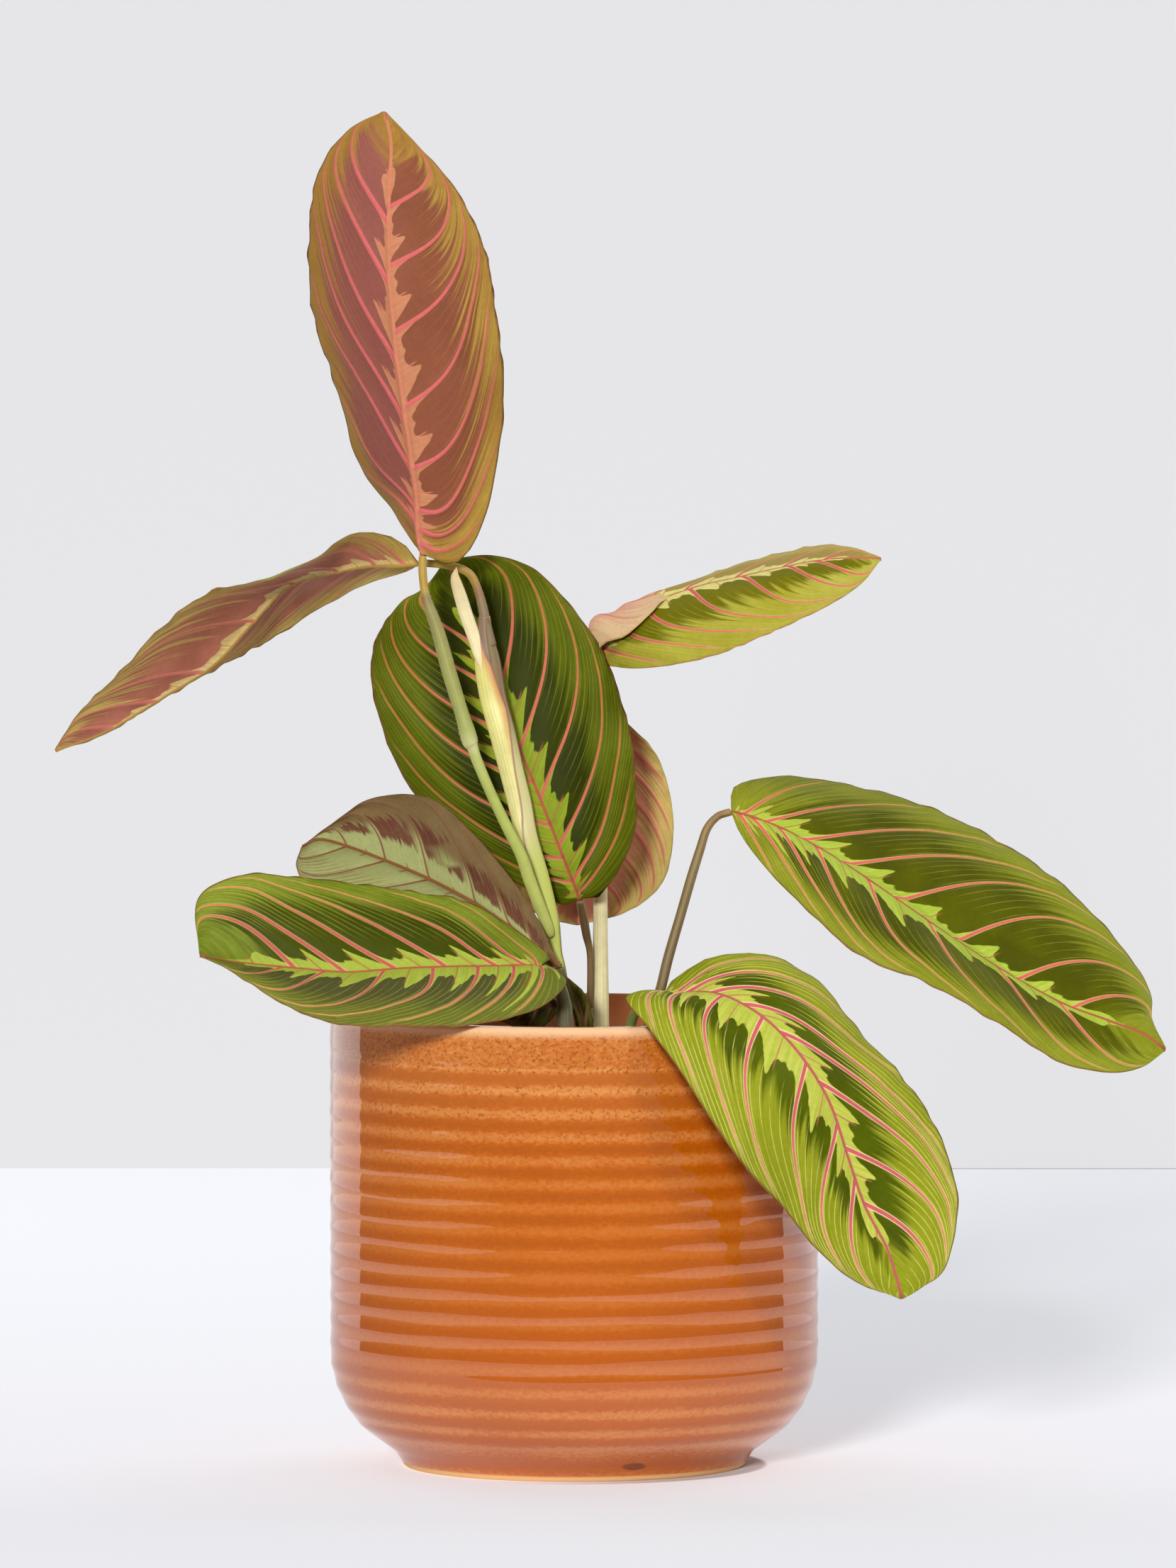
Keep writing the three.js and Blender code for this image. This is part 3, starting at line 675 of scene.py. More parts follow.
def crumb(place, size, random):
    """A rough lump: a squashed ball with uneven corners"""
    corners = unit(ball_corners()) * random.uniform(0.7, 1.1, (12, 1)) * size * random.uniform(0.5, 1.1, 3)
    spin = random.uniform(0, 2 * math.pi)
    turn = np.array([[math.cos(spin), -math.sin(spin), 0], [math.sin(spin), math.cos(spin), 0], [0, 0, 1]])
    return corners @ turn.T + place


def ball_faces():
    """The ball's triangles, each of three corners that are neighbours, facing outwards"""
    corners = ball_corners()
    near = np.abs(np.linalg.norm(corners[:, None] - corners, axis=-1) - 2) < 0.01
    faces = []
    for i, j, k in itertools.combinations(range(12), 3):
        if near[i, j] and near[i, k] and near[j, k]:
            normal = np.cross(corners[j] - corners[i], corners[k] - corners[i])
            faces.append((i, j, k) if normal @ corners[i] > 0 else (i, k, j))
    return faces


print("soil helpers ready")

# %% Soil finish and piece
def soil_material():
    """Dark crumbly earth with lighter fibres"""
    material, tree, shader = new_material("potting_soil", Specular_IOR_Level=0.2)
    place = object_place(tree)
    lumps = clouds(tree, place, 260.0, 6.0)
    fibre = put(tree, "TexVoronoi", {"Vector": place, "Scale": 420.0}).outputs["Distance"]
    colour = mix(tree, fade(tree, lumps, 0.35, 0.65), paint(38, 24, 16), paint(84, 58, 38))
    colour = mix(tree, fade(tree, fibre, 0.55, 0.8), colour, paint(120, 88, 58))
    link(tree, shader, {"Base Color": colour, "Roughness": scaled(tree, lumps, 0.2, 0.78)})
    add_bump(tree, shader, lumps, 0.0008, 0.8)
    return material


def make_soil():
    """The soil's mesh with its crumbs"""
    random = np.random.default_rng(SOIL_SEED)
    points, faces = soil_body()
    heap = [points]
    start = len(points)
    hull = ball_faces()
    for _ in range(CRUMBS):
        reach = (INSIDE_RADIUS - 4) * math.sqrt(random.uniform())
        angle = random.uniform(0, 2 * math.pi)
        x = reach * math.cos(angle)
        y = reach * math.sin(angle)
        heap.append(crumb((x, y, soil_height(x, y) + 0.1), random.uniform(*CRUMB_SIZES), random))
        faces += [[start + corner for corner in face] for face in hull]
        start += len(heap[-1])
    return piece("soil_crumbly", np.vstack(heap), faces, {}, [soil_material()], smooth=False)


stand_for(make_soil(), "soil")

# %% [markdown]
# A leaf blade is one thin sheet hung on a midrib. Each blade is a short list of stations from its
# base to its tip, and each station is the midrib, the left margin and the right margin, as seen from
# the upper face with the tip up. A fourth point is the crest of a left half that curls over. arch is
# how high the left and the right half bulge, and wave and waves are how far and how often the margin
# rises and falls.

# %% Blade stations
leaf_shapes = {}
leaf_shapes["leaf_top"] = {"arch": (-0.1, -0.1), "wave": 1.2, "waves": 3.2, "rows": [
    [[-43, -24, 262]],
    [[-44, -25, 268], [-34, -22, 259], [-47, -19, 267]],
    [[-44.5, -26, 277.5], [-26.5, -19, 269], [-53, -14, 276]],
    [[-46, -27, 288.5], [-21.5, -16, 290], [-61, -9, 286.5]],
    [[-48, -27, 302.5], [-20, -14, 310.5], [-67.5, -5, 308]],
    [[-51, -25, 324.5], [-22.5, -13, 332.5], [-74.5, -3, 330]],
    [[-52.5, -21, 344.5], [-25.5, -12, 348.5], [-75.5, -3, 352.5]],
    [[-52.5, -15, 365], [-33.5, -10, 365], [-72.8, -3, 370]],
    [[-52, -10, 378], [-44, -8, 377], [-64.6, -4, 381.6]],
    [[-54, -6, 387]],
]}
leaf_shapes["leaf_high_left"] = {"arch": (0.05, 0.05), "wave": 1.4, "waves": 2.6, "rows": [
    [[-44.5, -12, 259]],
    [[-50.5, -12, 258.5], [-50.5, -17, 266], [-48.5, -6, 256]],
    [[-59.5, -12, 258.5], [-62.5, -27, 268], [-59, 3, 252.5]],
    [[-71.5, -12, 256], [-74.5, -36, 260.5], [-73, 9, 245]],
    [[-82, -12, 252.5], [-87.5, -38, 255], [-84.5, 11, 237.5]],
    [[-92.5, -12, 241.5], [-102.5, -36, 252], [-94.5, 14, 232]],
    [[-103, -12, 230], [-116, -33, 242.5], [-105.5, 14, 226]],
    [[-117, -12, 221], [-129.5, -28, 228], [-119.5, 10, 218]],
    [[-133.5, -11, 211], [-140.5, -20, 217], [-135, 3, 209]],
    [[-148, -10, 205.5]],
]}
leaf_shapes["leaf_centre"] = {"arch": (0.08, 0.08), "wave": 1.2, "waves": 3.4, "rows": [
    [[1.5, -6, 162.5]],
    [[-0.5, -7, 168], [-5, -5, 161.5], [8.5, -5, 164.5]],
    [[-4, -8, 177], [-22, -3, 171], [17, -4, 180]],
    [[-9.5, -8, 191], [-46, -3, 193], [17.5, -2, 197.5]],
    [[-16.5, -6, 208], [-56.5, -2, 217], [15, 0, 214]],
    [[-23, -2, 225], [-57.5, 1, 234], [7, 3, 235]],
    [[-30, 4, 242], [-50.5, 5, 246], [-9, 8, 254.5]],
    [[-33.5, 8, 251], [-42.5, 8, 251.5], [-22.5, 11, 260]],
    [[-36.5, 11, 259]],
]}
leaf_shapes["leaf_high_right"] = {"arch": (0.03, 0.1), "wave": 0.9, "waves": 2.8, "rows": [
    [[5.5, 8.5, 229]],
    [[8, 8.5, 234], [8.5, 1.5, 235.2], [10, 6.5, 228.6], [4.5, 7, 241]],
    [[13, 7.5, 239.5], [15.5, -2, 238.2], [18, -5, 228.5], [12, 6, 244.7]],
    [[21.5, 5, 246], [25, 1, 247], [28.5, -14, 230], [20.5, 8, 248.8]],
    [[33.5, 4, 251], [34, 18, 252], [40.5, -17, 233], [33, 12, 252]],
    [[48, 2, 254.5], [47.5, 25, 257], [52.5, -19, 238], [48, 13, 256.5]],
    [[61, 0, 257.5], [62, 22, 261], [62, -18, 242], [61.5, 11, 259.5]],
    [[72, -2, 259.5], [72, 15, 263], [73.5, -14, 247.5], [72, 6, 261.5]],
    [[81, -4, 260], [80, 5, 262.5], [82, -8, 253]],
    [[87.5, -5, 260]],
]}
leaf_shapes["leaf_back"] = {"arch": (0.08, 0.08), "wave": 1.2, "waves": 2.4, "rows": [
    [[8.5, 20, 216.5]],
    [[9, 21, 212.5], [0, 24, 210.5], [16.8, 22, 210]],
    [[8.5, 22, 205.5], [-9, 28, 201], [23.5, 25, 202.5]],
    [[7, 22, 194], [-16.5, 30, 188.5], [27.5, 27, 191]],
    [[5.5, 22, 183], [-19.5, 30, 176.5], [28.5, 27, 178.5]],
    [[4, 21, 172], [-18, 28, 166.5], [25.5, 25, 165.5]],
    [[2, 20, 160.5], [-11, 23, 156.5], [16, 22, 157.5]],
    [[1, 18, 153.5]],
]}
leaf_shapes["leaf_mid_left"] = {"arch": (0.05, 0.05), "wave": 0.8, "waves": 2.2, "rows": [
    [[-4, -24, 144.5]],
    [[-9, -24, 148.5], [-5.5, -23.5, 147.5], [-11, -22.5, 143.5]],
    [[-19, -21, 156], [-10, -21.5, 157.5], [-24, -22, 147.5]],
    [[-31, -18, 163.5], [-17.5, -14, 168.5], [-38, -21, 151]],
    [[-42.5, -17, 169.5], [-29.5, -12, 182.5], [-51, -20, 156]],
    [[-53, -17, 174], [-41.5, -12, 192], [-63.5, -20, 161]],
    [[-63.5, -17, 178], [-57.5, -14, 192], [-74.5, -20, 165.5]],
    [[-72.5, -18, 180.5], [-69.5, -17, 184.5], [-79, -20, 172.5]],
    [[-77.5, -19, 178.5]],
]}
leaf_shapes["leaf_low_left"] = {"arch": (0.08, 0.08), "wave": 0.7, "waves": 3.3, "rows": [
    [[-9, -38, 145.5]],
    [[-13, -40, 146], [-2, -47, 142], [-7, -31, 148]],
    [[-22, -43, 146], [-10.5, -58, 135], [-14.5, -28, 153.5]],
    [[-36, -46, 146], [-29, -66, 131], [-30, -26, 163]],
    [[-50, -47, 145.5], [-46.5, -70, 131], [-45.5, -26, 166]],
    [[-64, -47, 144.5], [-65.5, -70, 131.5], [-62.5, -27, 168.5]],
    [[-78, -46, 145.5], [-79.5, -64, 135.5], [-79.5, -30, 170.5]],
    [[-90, -44, 146.5], [-92, -56, 142.5], [-93.5, -33, 171.5]],
    [[-99, -42, 147.5], [-99.5, -48, 146.5], [-106.5, -37, 165]],
    [[-106, -41, 149]],
]}
leaf_shapes["leaf_right"] = {"arch": (0.06, 0.06), "wave": 1.1, "waves": 4.2, "rows": [
    [[45, 6, 187]],
    [[51, 5, 185.5], [46.5, 14, 194], [48, 0, 180]],
    [[61, 3, 182], [61, 26, 196], [55.5, -14, 171]],
    [[75, 0, 175], [79.5, 32, 193], [65.5, -25, 161.5]],
    [[91, -3, 165], [100, 33, 187.5], [81.5, -31, 148]],
    [[107, -6, 153.5], [119.5, 31, 178.5], [101.5, -35, 140]],
    [[123.5, -9, 142.5], [138.5, 24, 166.5], [121.5, -34, 128.5]],
    [[139.5, -12, 133.5], [154.5, 14, 151], [137.5, -31, 118]],
    [[153.5, -15, 128], [164.5, 2, 136.5], [152, -25, 114.5]],
    [[162, -17, 125], [165, -10, 128.5], [161.5, -20, 115.5]],
    [[168.5, -18, 120.5]],
]}
leaf_shapes["leaf_low_right"] = {"arch": (0.08, 0.08), "wave": 0.9, "waves": 3.6, "rows": [
    [[24.5, -46, 137.5]],
    [[29, -50, 138.5], [28.5, -44, 142.5], [14.5, -60, 138.5]],
    [[38.5, -57, 139.5], [40, -44, 149], [21.5, -73, 130]],
    [[47, -63, 137], [56, -45, 149], [30, -78, 118.5]],
    [[56, -67, 131], [70, -46, 141], [39, -79, 104.5]],
    [[65, -69, 121], [81, -48, 127.5], [49, -76, 90.5]],
    [[72, -68, 109], [93, -50, 115], [59, -70, 79.5]],
    [[77.5, -65, 92.5], [103, -51, 99.5], [67, -64, 69]],
    [[82, -62, 79.5], [108.5, -53, 80.5], [77, -60, 59.5]],
    [[88, -60, 68], [105, -56, 62], [84.5, -58, 55.5]],
    [[91, -59, 59], [98.5, -57, 56.3], [88.5, -58, 54.4]],
    [[92.6, -58, 52.9]],
]}
leaf_shapes["leaf_old"] = {"arch": (0.15, 0.15), "wave": 0.3, "waves": 1.2, "rows": [
    [[5, -19, 104]],
    [[4.5, -20, 113], [2.5, -21.5, 113.5], [7, -18.5, 113.5]],
    [[3.5, -21, 124.5], [1, -22, 124.5], [6, -19, 125]],
    [[1.5, -23, 132.5], [-0.5, -25, 132.5], [4.5, -21, 133]],
    [[0, -24.5, 137], [-2, -26.5, 137], [3, -23, 137]],
    [[-2, -26, 141.5]],
]}
leaf_shapes["leaf_inside"] = {"arch": (0.12, 0.12), "wave": 0.2, "waves": 1.2, "rows": [
    [[-4.2, -23.4, 133.5]],
    [[-8.5, -24, 133], [-8, -25, 128], [-9, -21, 136.5]],
    [[-14.5, -26, 132], [-13.5, -27, 126.5], [-15, -22, 135.5]],
    [[-21.5, -28, 130]],
]}
print("stations of", len(leaf_shapes), "blades")

# %% [markdown]
# Side veins leave the midrib one after another and sweep towards the tip. Each is written as three
# shares: where it leaves the midrib, where it would reach the margin, and how straight it runs. A
# blade with no right list has the same veins on both sides. tooth is how far the pale feather
# reaches across each half, and rib_shift moves the midrib.

# %% Veins of each blade
leaf_veins = {
    "leaf_top": {
        "left": [(.03, .15, .15), (.06, .25, .15), (.10, .42, .15), (.193, .56, .15), (.327, .72, .15),
                 (.493, .84, .15), (.64, .91, .2), (.773, .95, .4)],
        "right": [(.06, .22, .7), (.09, .33, .7), (.185, .60, .7), (.295, .76, .7), (.43, .88, .7),
                  (.60, .93, .8), (.737, .97, .9)],
        "tooth": (0.2, 0.17),
    },
    "leaf_high_left": {
        "left": [(.03, .16, .6), (.10, .27, .6), (.19, .42, .6), (.30, .55, .5), (.43, .72, .6),
                 (.60, .86, .8), (.73, .93, .9), (.85, .98, 1)],
        "right": [(.05, .22, .5), (.13, .45, .35), (.25, .60, .4), (.38, .72, .4), (.52, .83, .5),
                  (.66, .91, .7), (.80, .97, 1)],
        "tooth": (0.13, 0.13),
    },
    "leaf_centre": {
        "left": [(.05, .23, .5), (.12, .43, .28), (.215, .58, .28), (.34, .72, .25), (.47, .81, .25),
                 (.61, .90, .3), (.73, .955, .5)],
        "right": [(.012, .33, .3), (.05, .54, .35), (.155, .74, .4), (.29, .83, .65), (.435, .93, .8),
                  (.60, .985, 1)],
        "tooth": (0.32, 0.22),
    },
    "leaf_high_right": {
        "left": [(.05, .22, .4), (.13, .42, .3), (.24, .60, .3), (.38, .75, .3), (.54, .87, .4),
                 (.69, .94, .6), (.82, .98, 1)],
        "right": [(.055, .25, .4), (.145, .47, .25), (.245, .68, .15), (.395, .83, .15), (.565, .90, .35),
                  (.71, .95, .65), (.80, .98, 1)],
        "tooth": (0.25, 0.2),
    },
    "leaf_back": {
        "left": [(.02, .15, .6), (.10, .34, .5), (.20, .55, .45), (.31, .68, .5), (.43, .80, .5),
                 (.57, .88, .55), (.73, .95, .8)],
        "tooth": (0.2, 0.2),
    },
    "leaf_mid_left": {
        "left": [(.03, .20, .6), (.10, .42, .6), (.21, .62, .6), (.36, .75, .6), (.54, .87, .7),
                 (.70, .94, .8), (.84, .98, 1)],
        "tooth": (0.1, 0.12),
    },
    "leaf_low_left": {
        "left": [(.012, .21, .5), (.09, .34, .5), (.195, .50, .35), (.325, .72, .15), (.465, .80, .25),
                 (.635, .84, .6), (.76, .93, .6)],
        "right": [(.012, .38, .3), (.045, .54, .6), (.135, .80, .6), (.285, .885, .75), (.43, .925, 1),
                  (.575, .95, 1.3), (.72, .975, 1.3)],
        "tooth": (0.4, 0.18),
    },
    "leaf_right": {
        "left": [(.02, .20, .7), (.067, .39, .7), (.15, .56, .7), (.243, .69, .7), (.37, .755, .7),
                 (.513, .835, .7), (.663, .905, .8), (.793, .95, .9)],
        "right": [(.01, .14, .42), (.04, .30, .42), (.10, .42, .42), (.185, .50, .42), (.31, .62, .42),
                  (.455, .75, .42), (.62, .90, .5), (.763, .96, .7)],
        "tooth": (0.17, 0.3), "rib_shift": 0.1,
    },
    "leaf_low_right": {
        "left": [(.03, .26, .78), (.07, .40, .78), (.14, .55, .78), (.227, .74, .78), (.333, .80, .78),
                 (.473, .85, .78), (.633, .88, .8), (.767, .93, .9)],
        "right": [(.05, .16, .15), (.09, .29, .15), (.173, .43, .15), (.283, .52, .15), (.423, .70, .15),
                  (.575, .80, .15), (.707, .90, .3)],
        "tooth": (0.2, 0.32),
    },
    "leaf_old": {
        "left": [(.1, .4, .6), (.35, .7, .6), (.6, .9, .8)],
        "tooth": (0.1, 0.1),
    },
}
leaf_veins["leaf_inside"] = leaf_veins["leaf_old"]
print("veins of", len(leaf_veins), "blades")

# %% [markdown]
# Three lines on each side carry a blade: the midrib, a crest halfway out and the margin. A point of
# the blade is found between them with a parabola, so each half arches. The base and the tip get a
# short edge, and the margin rises and falls in slow waves.

# %% Blade surface
BASE_HALF_WIDTH = 0.9
TIP_HALF_WIDTH = 0.5
LEFT, RIGHT = 0, 1
RIGHT_WAVE_START = 0.3


def blade_lines(leaf):
    """The midrib's points, and the crest's and the margin's points on each side"""
    rows = [[np.array(point, float) for point in row] for row in leaf["rows"]]
    last = len(rows) - 1
    rib = np.array([row[0] for row in rows])

    def end_edge(index, near, half, side):
        across = unit(rows[near][1 + side] - rows[near][2 - side])
        return rib[index] + across * half

    margins = [[end_edge(0, 1, BASE_HALF_WIDTH, side)]
               + [row[1 + side] for row in rows[1:-1]]
               + [end_edge(last, last - 1, TIP_HALF_WIDTH, side)] for side in (LEFT, RIGHT)]
    crests_found = []
    for side in (LEFT, RIGHT):
        line = []
        for index, edge in enumerate(margins[side]):
            along = rib[min(index + 1, last)] - rib[max(index - 1, 0)]
            up = unit(np.cross(margins[RIGHT][index] - margins[LEFT][index], along))
            lift = leaf["arch"][side] * np.linalg.norm(rib[index] - edge)
            crest = (rib[index] + edge) / 2 + up * lift
            line.append(rows[index][3] if side == LEFT and len(rows[index]) > 3 else crest)
        crests_found.append(np.array(line))
    return rib, crests_found, [np.array(line) for line in margins]


def blade_point(leaf, lines, along, across):
    """Points of the blade's middle; along runs from 0 to 1, across from -1 left to 1 right"""
    rib, crest_lines, margin_lines = lines
    w = np.abs(across)[..., None]
    left = (across < 0)[..., None]
    crest = np.where(left, spline(crest_lines[LEFT], along), spline(crest_lines[RIGHT], along))
    edge = np.where(left, spline(margin_lines[LEFT], along), spline(margin_lines[RIGHT], along))
    point = spline(rib, along) * (1 - w) * (1 - 2 * w) + crest * 4 * w * (1 - w) + edge * w * (2 * w - 1)
    phase = leaf["waves"] * along + np.where(across < 0, 0, RIGHT_WAVE_START)
    point[..., 1] += leaf["wave"] * across**2 * np.sin(math.pi * along) * np.sin(2 * math.pi * phase)
    return point


print("blade surface ready")

# %% [markdown]
# The mesh follows the veins, because then a vein is a clean row of points that can be raised, and
# the pattern between two veins can be drawn in simple coordinates. q counts the veins from base to
# tip, and w runs from midrib to margin. Rows crowd near each vein, where the detail is, and where
# the veins end close together at the margin.

# %% Vein coordinates
BLADE_ROWS = 150
ROW_CROWDING = 6.0
CROWDING_REACH = 0.008
EVEN_WEIGHT = 0.5
MARGIN_WEIGHT = 0.25
FINE_STEPS = 4001


def monotone(knots, values, places):
    """A smooth curve through the knots that never turns back"""
    knots, values, places = (np.asarray(part, float) for part in (knots, values, places))
    steps = np.diff(knots)
    slopes = np.diff(values) / steps
    inner = 2 * slopes[:-1] * slopes[1:] / (slopes[:-1] + slopes[1:])
    tangents = np.concatenate([slopes[:1], inner, slopes[-1:]])
    index = np.clip(np.searchsorted(knots, places, side="right") - 1, 0, len(steps) - 1)
    t = (places - knots[index]) / steps[index]
    low, high = values[index], values[index + 1]
    return (low * (1 + 2 * t) * (1 - t)**2 + high * t * t * (3 - 2 * t)
            + tangents[index] * steps[index] * t * (1 - t)**2
            + tangents[index + 1] * steps[index] * t * t * (t - 1))


def vein_curves(veins, side):
    """Start, end and straightness of the vein lines against q, with the base and the tip added"""
    rows = veins["left"] if side == LEFT else veins.get("right", veins["left"])
    base = (0.0, 0.0, rows[0][2])
    return np.array([base, *rows, (1.0, 1.0, 1.0)]).T


def row_places(veins, count):
    """Where the mesh rows leave the midrib: close together near each vein"""
    fine = np.linspace(0, 1, FINE_STEPS)
    weight = np.full_like(fine, EVEN_WEIGHT)
    fixed = [0.0, 1.0]
    for side in (LEFT, RIGHT):
        starts, ends, _ = vein_curves(veins, side)
        weight += MARGIN_WEIGHT * np.gradient(monotone(starts, ends, fine), fine)
        for start in starts[1:-1]:
            weight += ROW_CROWDING * np.exp(-((fine - start) / CROWDING_REACH)**2)
            fixed.append(start)
    total = np.concatenate([[0], np.cumsum((weight[1:] + weight[:-1]) / 2)])
    places = np.interp(np.linspace(0, 1, count), total / total[-1], fine)
    for start in fixed:
        places[np.argmin(np.abs(places - start))] = start
    return np.unique(places)


print("vein coordinates ready")

# %% [markdown]
# One half of a blade: the points of its rows, with everything the finish needs to know about each
# of them. The pale feather is wide at the base, even along the middle and gone at the tip.

# %% Half a blade
HALF_COLUMNS = 44
COLUMN_CROWDING = 1.2
BEND_POWER = 4
RIB_STEPS = 601
SHIFT_END = 0.85
SAMPLE_REACH = 0.004
FEATHER = {"along": [0, .05, .10, .16, .30, .60, .80, .90, 1.0],
           "reach": [1.9, 1.8, 1.5, 1.25, 1.1, .9, .66, .28, .03]}


def half_blade(lines, veins, side, rows_at):
    """The grid of one half: q and w, u towards the tip, and along and across for blade_point"""
    starts, ends, straight = vein_curves(veins, side)
    count = np.arange(len(starts))
    q = monotone(starts, count, rows_at)
    w = np.linspace(0, 1, HALF_COLUMNS + 1)**COLUMN_CROWDING
    share = np.interp(q, count, straight)[:, None]
    sweep = share * w + (1 - share) * w**BEND_POWER
    u = rows_at[:, None] + (monotone(count, ends, q) - rows_at)[:, None] * sweep
    steps = np.linspace(0, 1, RIB_STEPS)
    walked = np.linalg.norm(np.diff(spline(lines[0], steps), axis=0), axis=1)
    walked = np.concatenate([[0], np.cumsum(walked)])
    along = np.interp(u * walked[-1], walked, steps)
    shift = veins.get("rib_shift", 0.0) * np.sin(math.pi * np.clip(u / SHIFT_END, 0, 1))
    margin = -1 if side == LEFT else 1
    across = shift + (margin - shift) * w[None, :]
    return {"q": q, "w": w, "u": u, "along": along, "across": across, "shift": shift,
            "count": len(starts) - 2}


def blade_frame(leaf, lines, half):
    """Middle points of a half blade and the direction of its upper face"""
    along, across = half["along"], half["across"]
    forward, sideways = (
        blade_point(leaf, lines, np.clip(along + ahead, 0, 1), np.clip(across + aside, -1, 1))
        - blade_point(leaf, lines, np.clip(along - ahead, 0, 1), np.clip(across - aside, -1, 1))
        for ahead, aside in ((SAMPLE_REACH, 0), (0, SAMPLE_REACH)))
    return blade_point(leaf, lines, along, across), unit(np.cross(sideways, forward))


print("half blades ready")

# %% [markdown]
# Distances in millimetres let the finish draw a vein at its real width. Each is measured square to
# its own line: to the nearest side vein, and to the midrib. spacing is how far apart two
# neighbouring veins run.

# %% Distances on a half blade
FAR = 60


def measure(leaf, lines, half, middle):
    """Distances to the nearest vein and to the midrib, and between veins, none beyond FAR"""
    q = half["q"]
    across_step = np.gradient(middle, half["w"], axis=1)
    along_step = np.gradient(middle, q, axis=0)
    square = np.linalg.norm(np.cross(along_step, across_step), axis=-1)
    spacing = square / np.maximum(np.linalg.norm(across_step, axis=-1), 1e-6)
    share = q - np.floor(q)
    back = np.where(q >= 1, share, np.inf)
    ahead = np.where(q < half["count"], 1 - share, np.inf)
    from_vein = np.minimum(back, ahead)[:, None] * spacing
    along = half["along"]
    rib_way = unit(spline(lines[0], along + SAMPLE_REACH) - spline(lines[0], along - SAMPLE_REACH))
    offset = middle - blade_point(leaf, lines, along, half["shift"])
    from_rib = np.linalg.norm(offset - (offset * rib_way).sum(-1, keepdims=True) * rib_way, axis=-1)
    return np.minimum(from_vein, FAR), from_rib, np.minimum(spacing, FAR)


print("distances ready")

# %% [markdown]
# A living blade isn't flat between its veins: it quilts up a little, the veins lie in shallow
# grooves above and stand proud below, and the margin ripples. All of that moves real points here.
# The sheet is then given its thickness, and closed round the margin.

# %% Relief of a blade
BLADE_THICKNESS = 0.45
MARGIN_THICKNESS = 0.24
RIB_THICKNESS = 0.9
RIB_SPREAD = 0.7
VEIN_DEPTH = 0.2
VEIN_WIDTH = 0.75
RIB_DEPTH = 0.35
RIB_WIDTH = 1.1
QUILT = 0.45
END_QUILT = 0.35
RIPPLE = 0.3
RIPPLES = 11
FINE_RIPPLES = 19


def bell(distance, width):
    """1 on a line, and less and less beside it"""
    return np.exp(-(distance / width)**2)


def relief(half, from_vein, from_rib, phase):
    """How far the middle of the sheet is lifted towards the upper face, in millimetres"""
    w, u, q = half["w"][None, :], half["u"], half["q"]
    dome = np.sin(math.pi * (q - np.floor(q)))[:, None]**1.2
    inside = (q >= 1) & (q <= half["count"])
    quilt = QUILT * dome * (w * (1 - w) * 4)**0.7 * np.where(inside, 1, END_QUILT)[:, None]
    groove = VEIN_DEPTH * bell(from_vein, VEIN_WIDTH) * (1 - 0.7 * w)
    rib = RIB_DEPTH * bell(from_rib, RIB_WIDTH) * (1 - 0.6 * u)
    ripple = RIPPLE * w**5 * np.sin(math.pi * np.clip(u, 0, 1)) * (
        np.sin(2 * math.pi * RIPPLES * u + phase) + 0.6 * np.sin(2 * math.pi * FINE_RIPPLES * u + 2 * phase))
    return quilt - groove - rib + ripple


def sheet_thickness(half, from_rib):
    """The sheet's thickness: thin at the margin and thick at the midrib"""
    body = BLADE_THICKNESS + (MARGIN_THICKNESS - BLADE_THICKNESS) * half["w"][None, :]**3
    return body + RIB_THICKNESS * bell(from_rib, RIB_SPREAD) * (1 - 0.75 * half["u"])


print("relief ready")

# %% [markdown]
# Both halves share the midrib's points, so the blade is one closed skin. Every face corner looks up
# its coordinates in its own half, because q differs left and right of the midrib. Four UV maps hold
# them, two numbers each.

# %% Build a blade
UPPER_SHARE = 0.35
RIGHT_COUNT = 20


def blade_faces(rows, columns):
    """Quads of the upper face, the lower face and the narrow band round the margin"""
    low = (np.arange(rows - 1)[:, None] * columns + np.arange(columns - 1)[None, :])
    upper = np.stack([low, low + 1, low + columns + 1, low + columns], -1).reshape(-1, 4)
    size = rows * columns
    last = (rows - 1) * columns
    loop = np.concatenate([np.arange(columns - 1), np.arange(rows - 1) * columns + columns - 1,
                           last + np.arange(columns - 1, 0, -1), np.arange(rows - 1, 0, -1) * columns])
    after = np.roll(loop, -1)
    return upper, upper[:, ::-1] + size, np.stack([loop, loop + size, after + size, after], -1)


def half_sheet(leaf, lines, veins, side, rows_at, phase):
    """The upper and lower points of one half, and what its UV maps hold"""
    half = half_blade(lines, veins, side, rows_at)
    middle, up = blade_frame(leaf, lines, half)
    from_vein, from_rib, spacing = measure(leaf, lines, half, middle)
    lifted = middle + up * relief(half, from_vein, from_rib, phase + side)[..., None]
    thick = sheet_thickness(half, from_rib)[..., None]
    tooth = np.interp(rows_at, FEATHER["along"], FEATHER["reach"]) * veins["tooth"][side]

    def pairs(first, second):
        return np.stack(np.broadcast_arrays(first, second, from_rib)[:2], -1)

    return {
        "upper": lifted + up * thick * UPPER_SHARE, "lower": lifted - up * thick * (1 - UPPER_SHARE),
        "veins": pairs((half["q"] + RIGHT_COUNT * side)[:, None], half["w"][None, :]),
        "feather": pairs(tooth[:, None], rows_at[:, None]),
        "distances": pairs(from_vein, from_rib), "spacing": pairs(spacing, half["u"]),
    }


def corner_values(faces, columns, left, right, on_left):
    """Per-corner values, taken from the left or the right half's own grid"""
    row, column = np.divmod(faces, columns)
    middle = columns // 2
    from_left = left[row, np.clip(middle - column, 0, middle)]
    from_right = right[row, np.clip(column - middle, 0, middle)]
    return np.where(on_left[:, None, None], from_left, from_right)


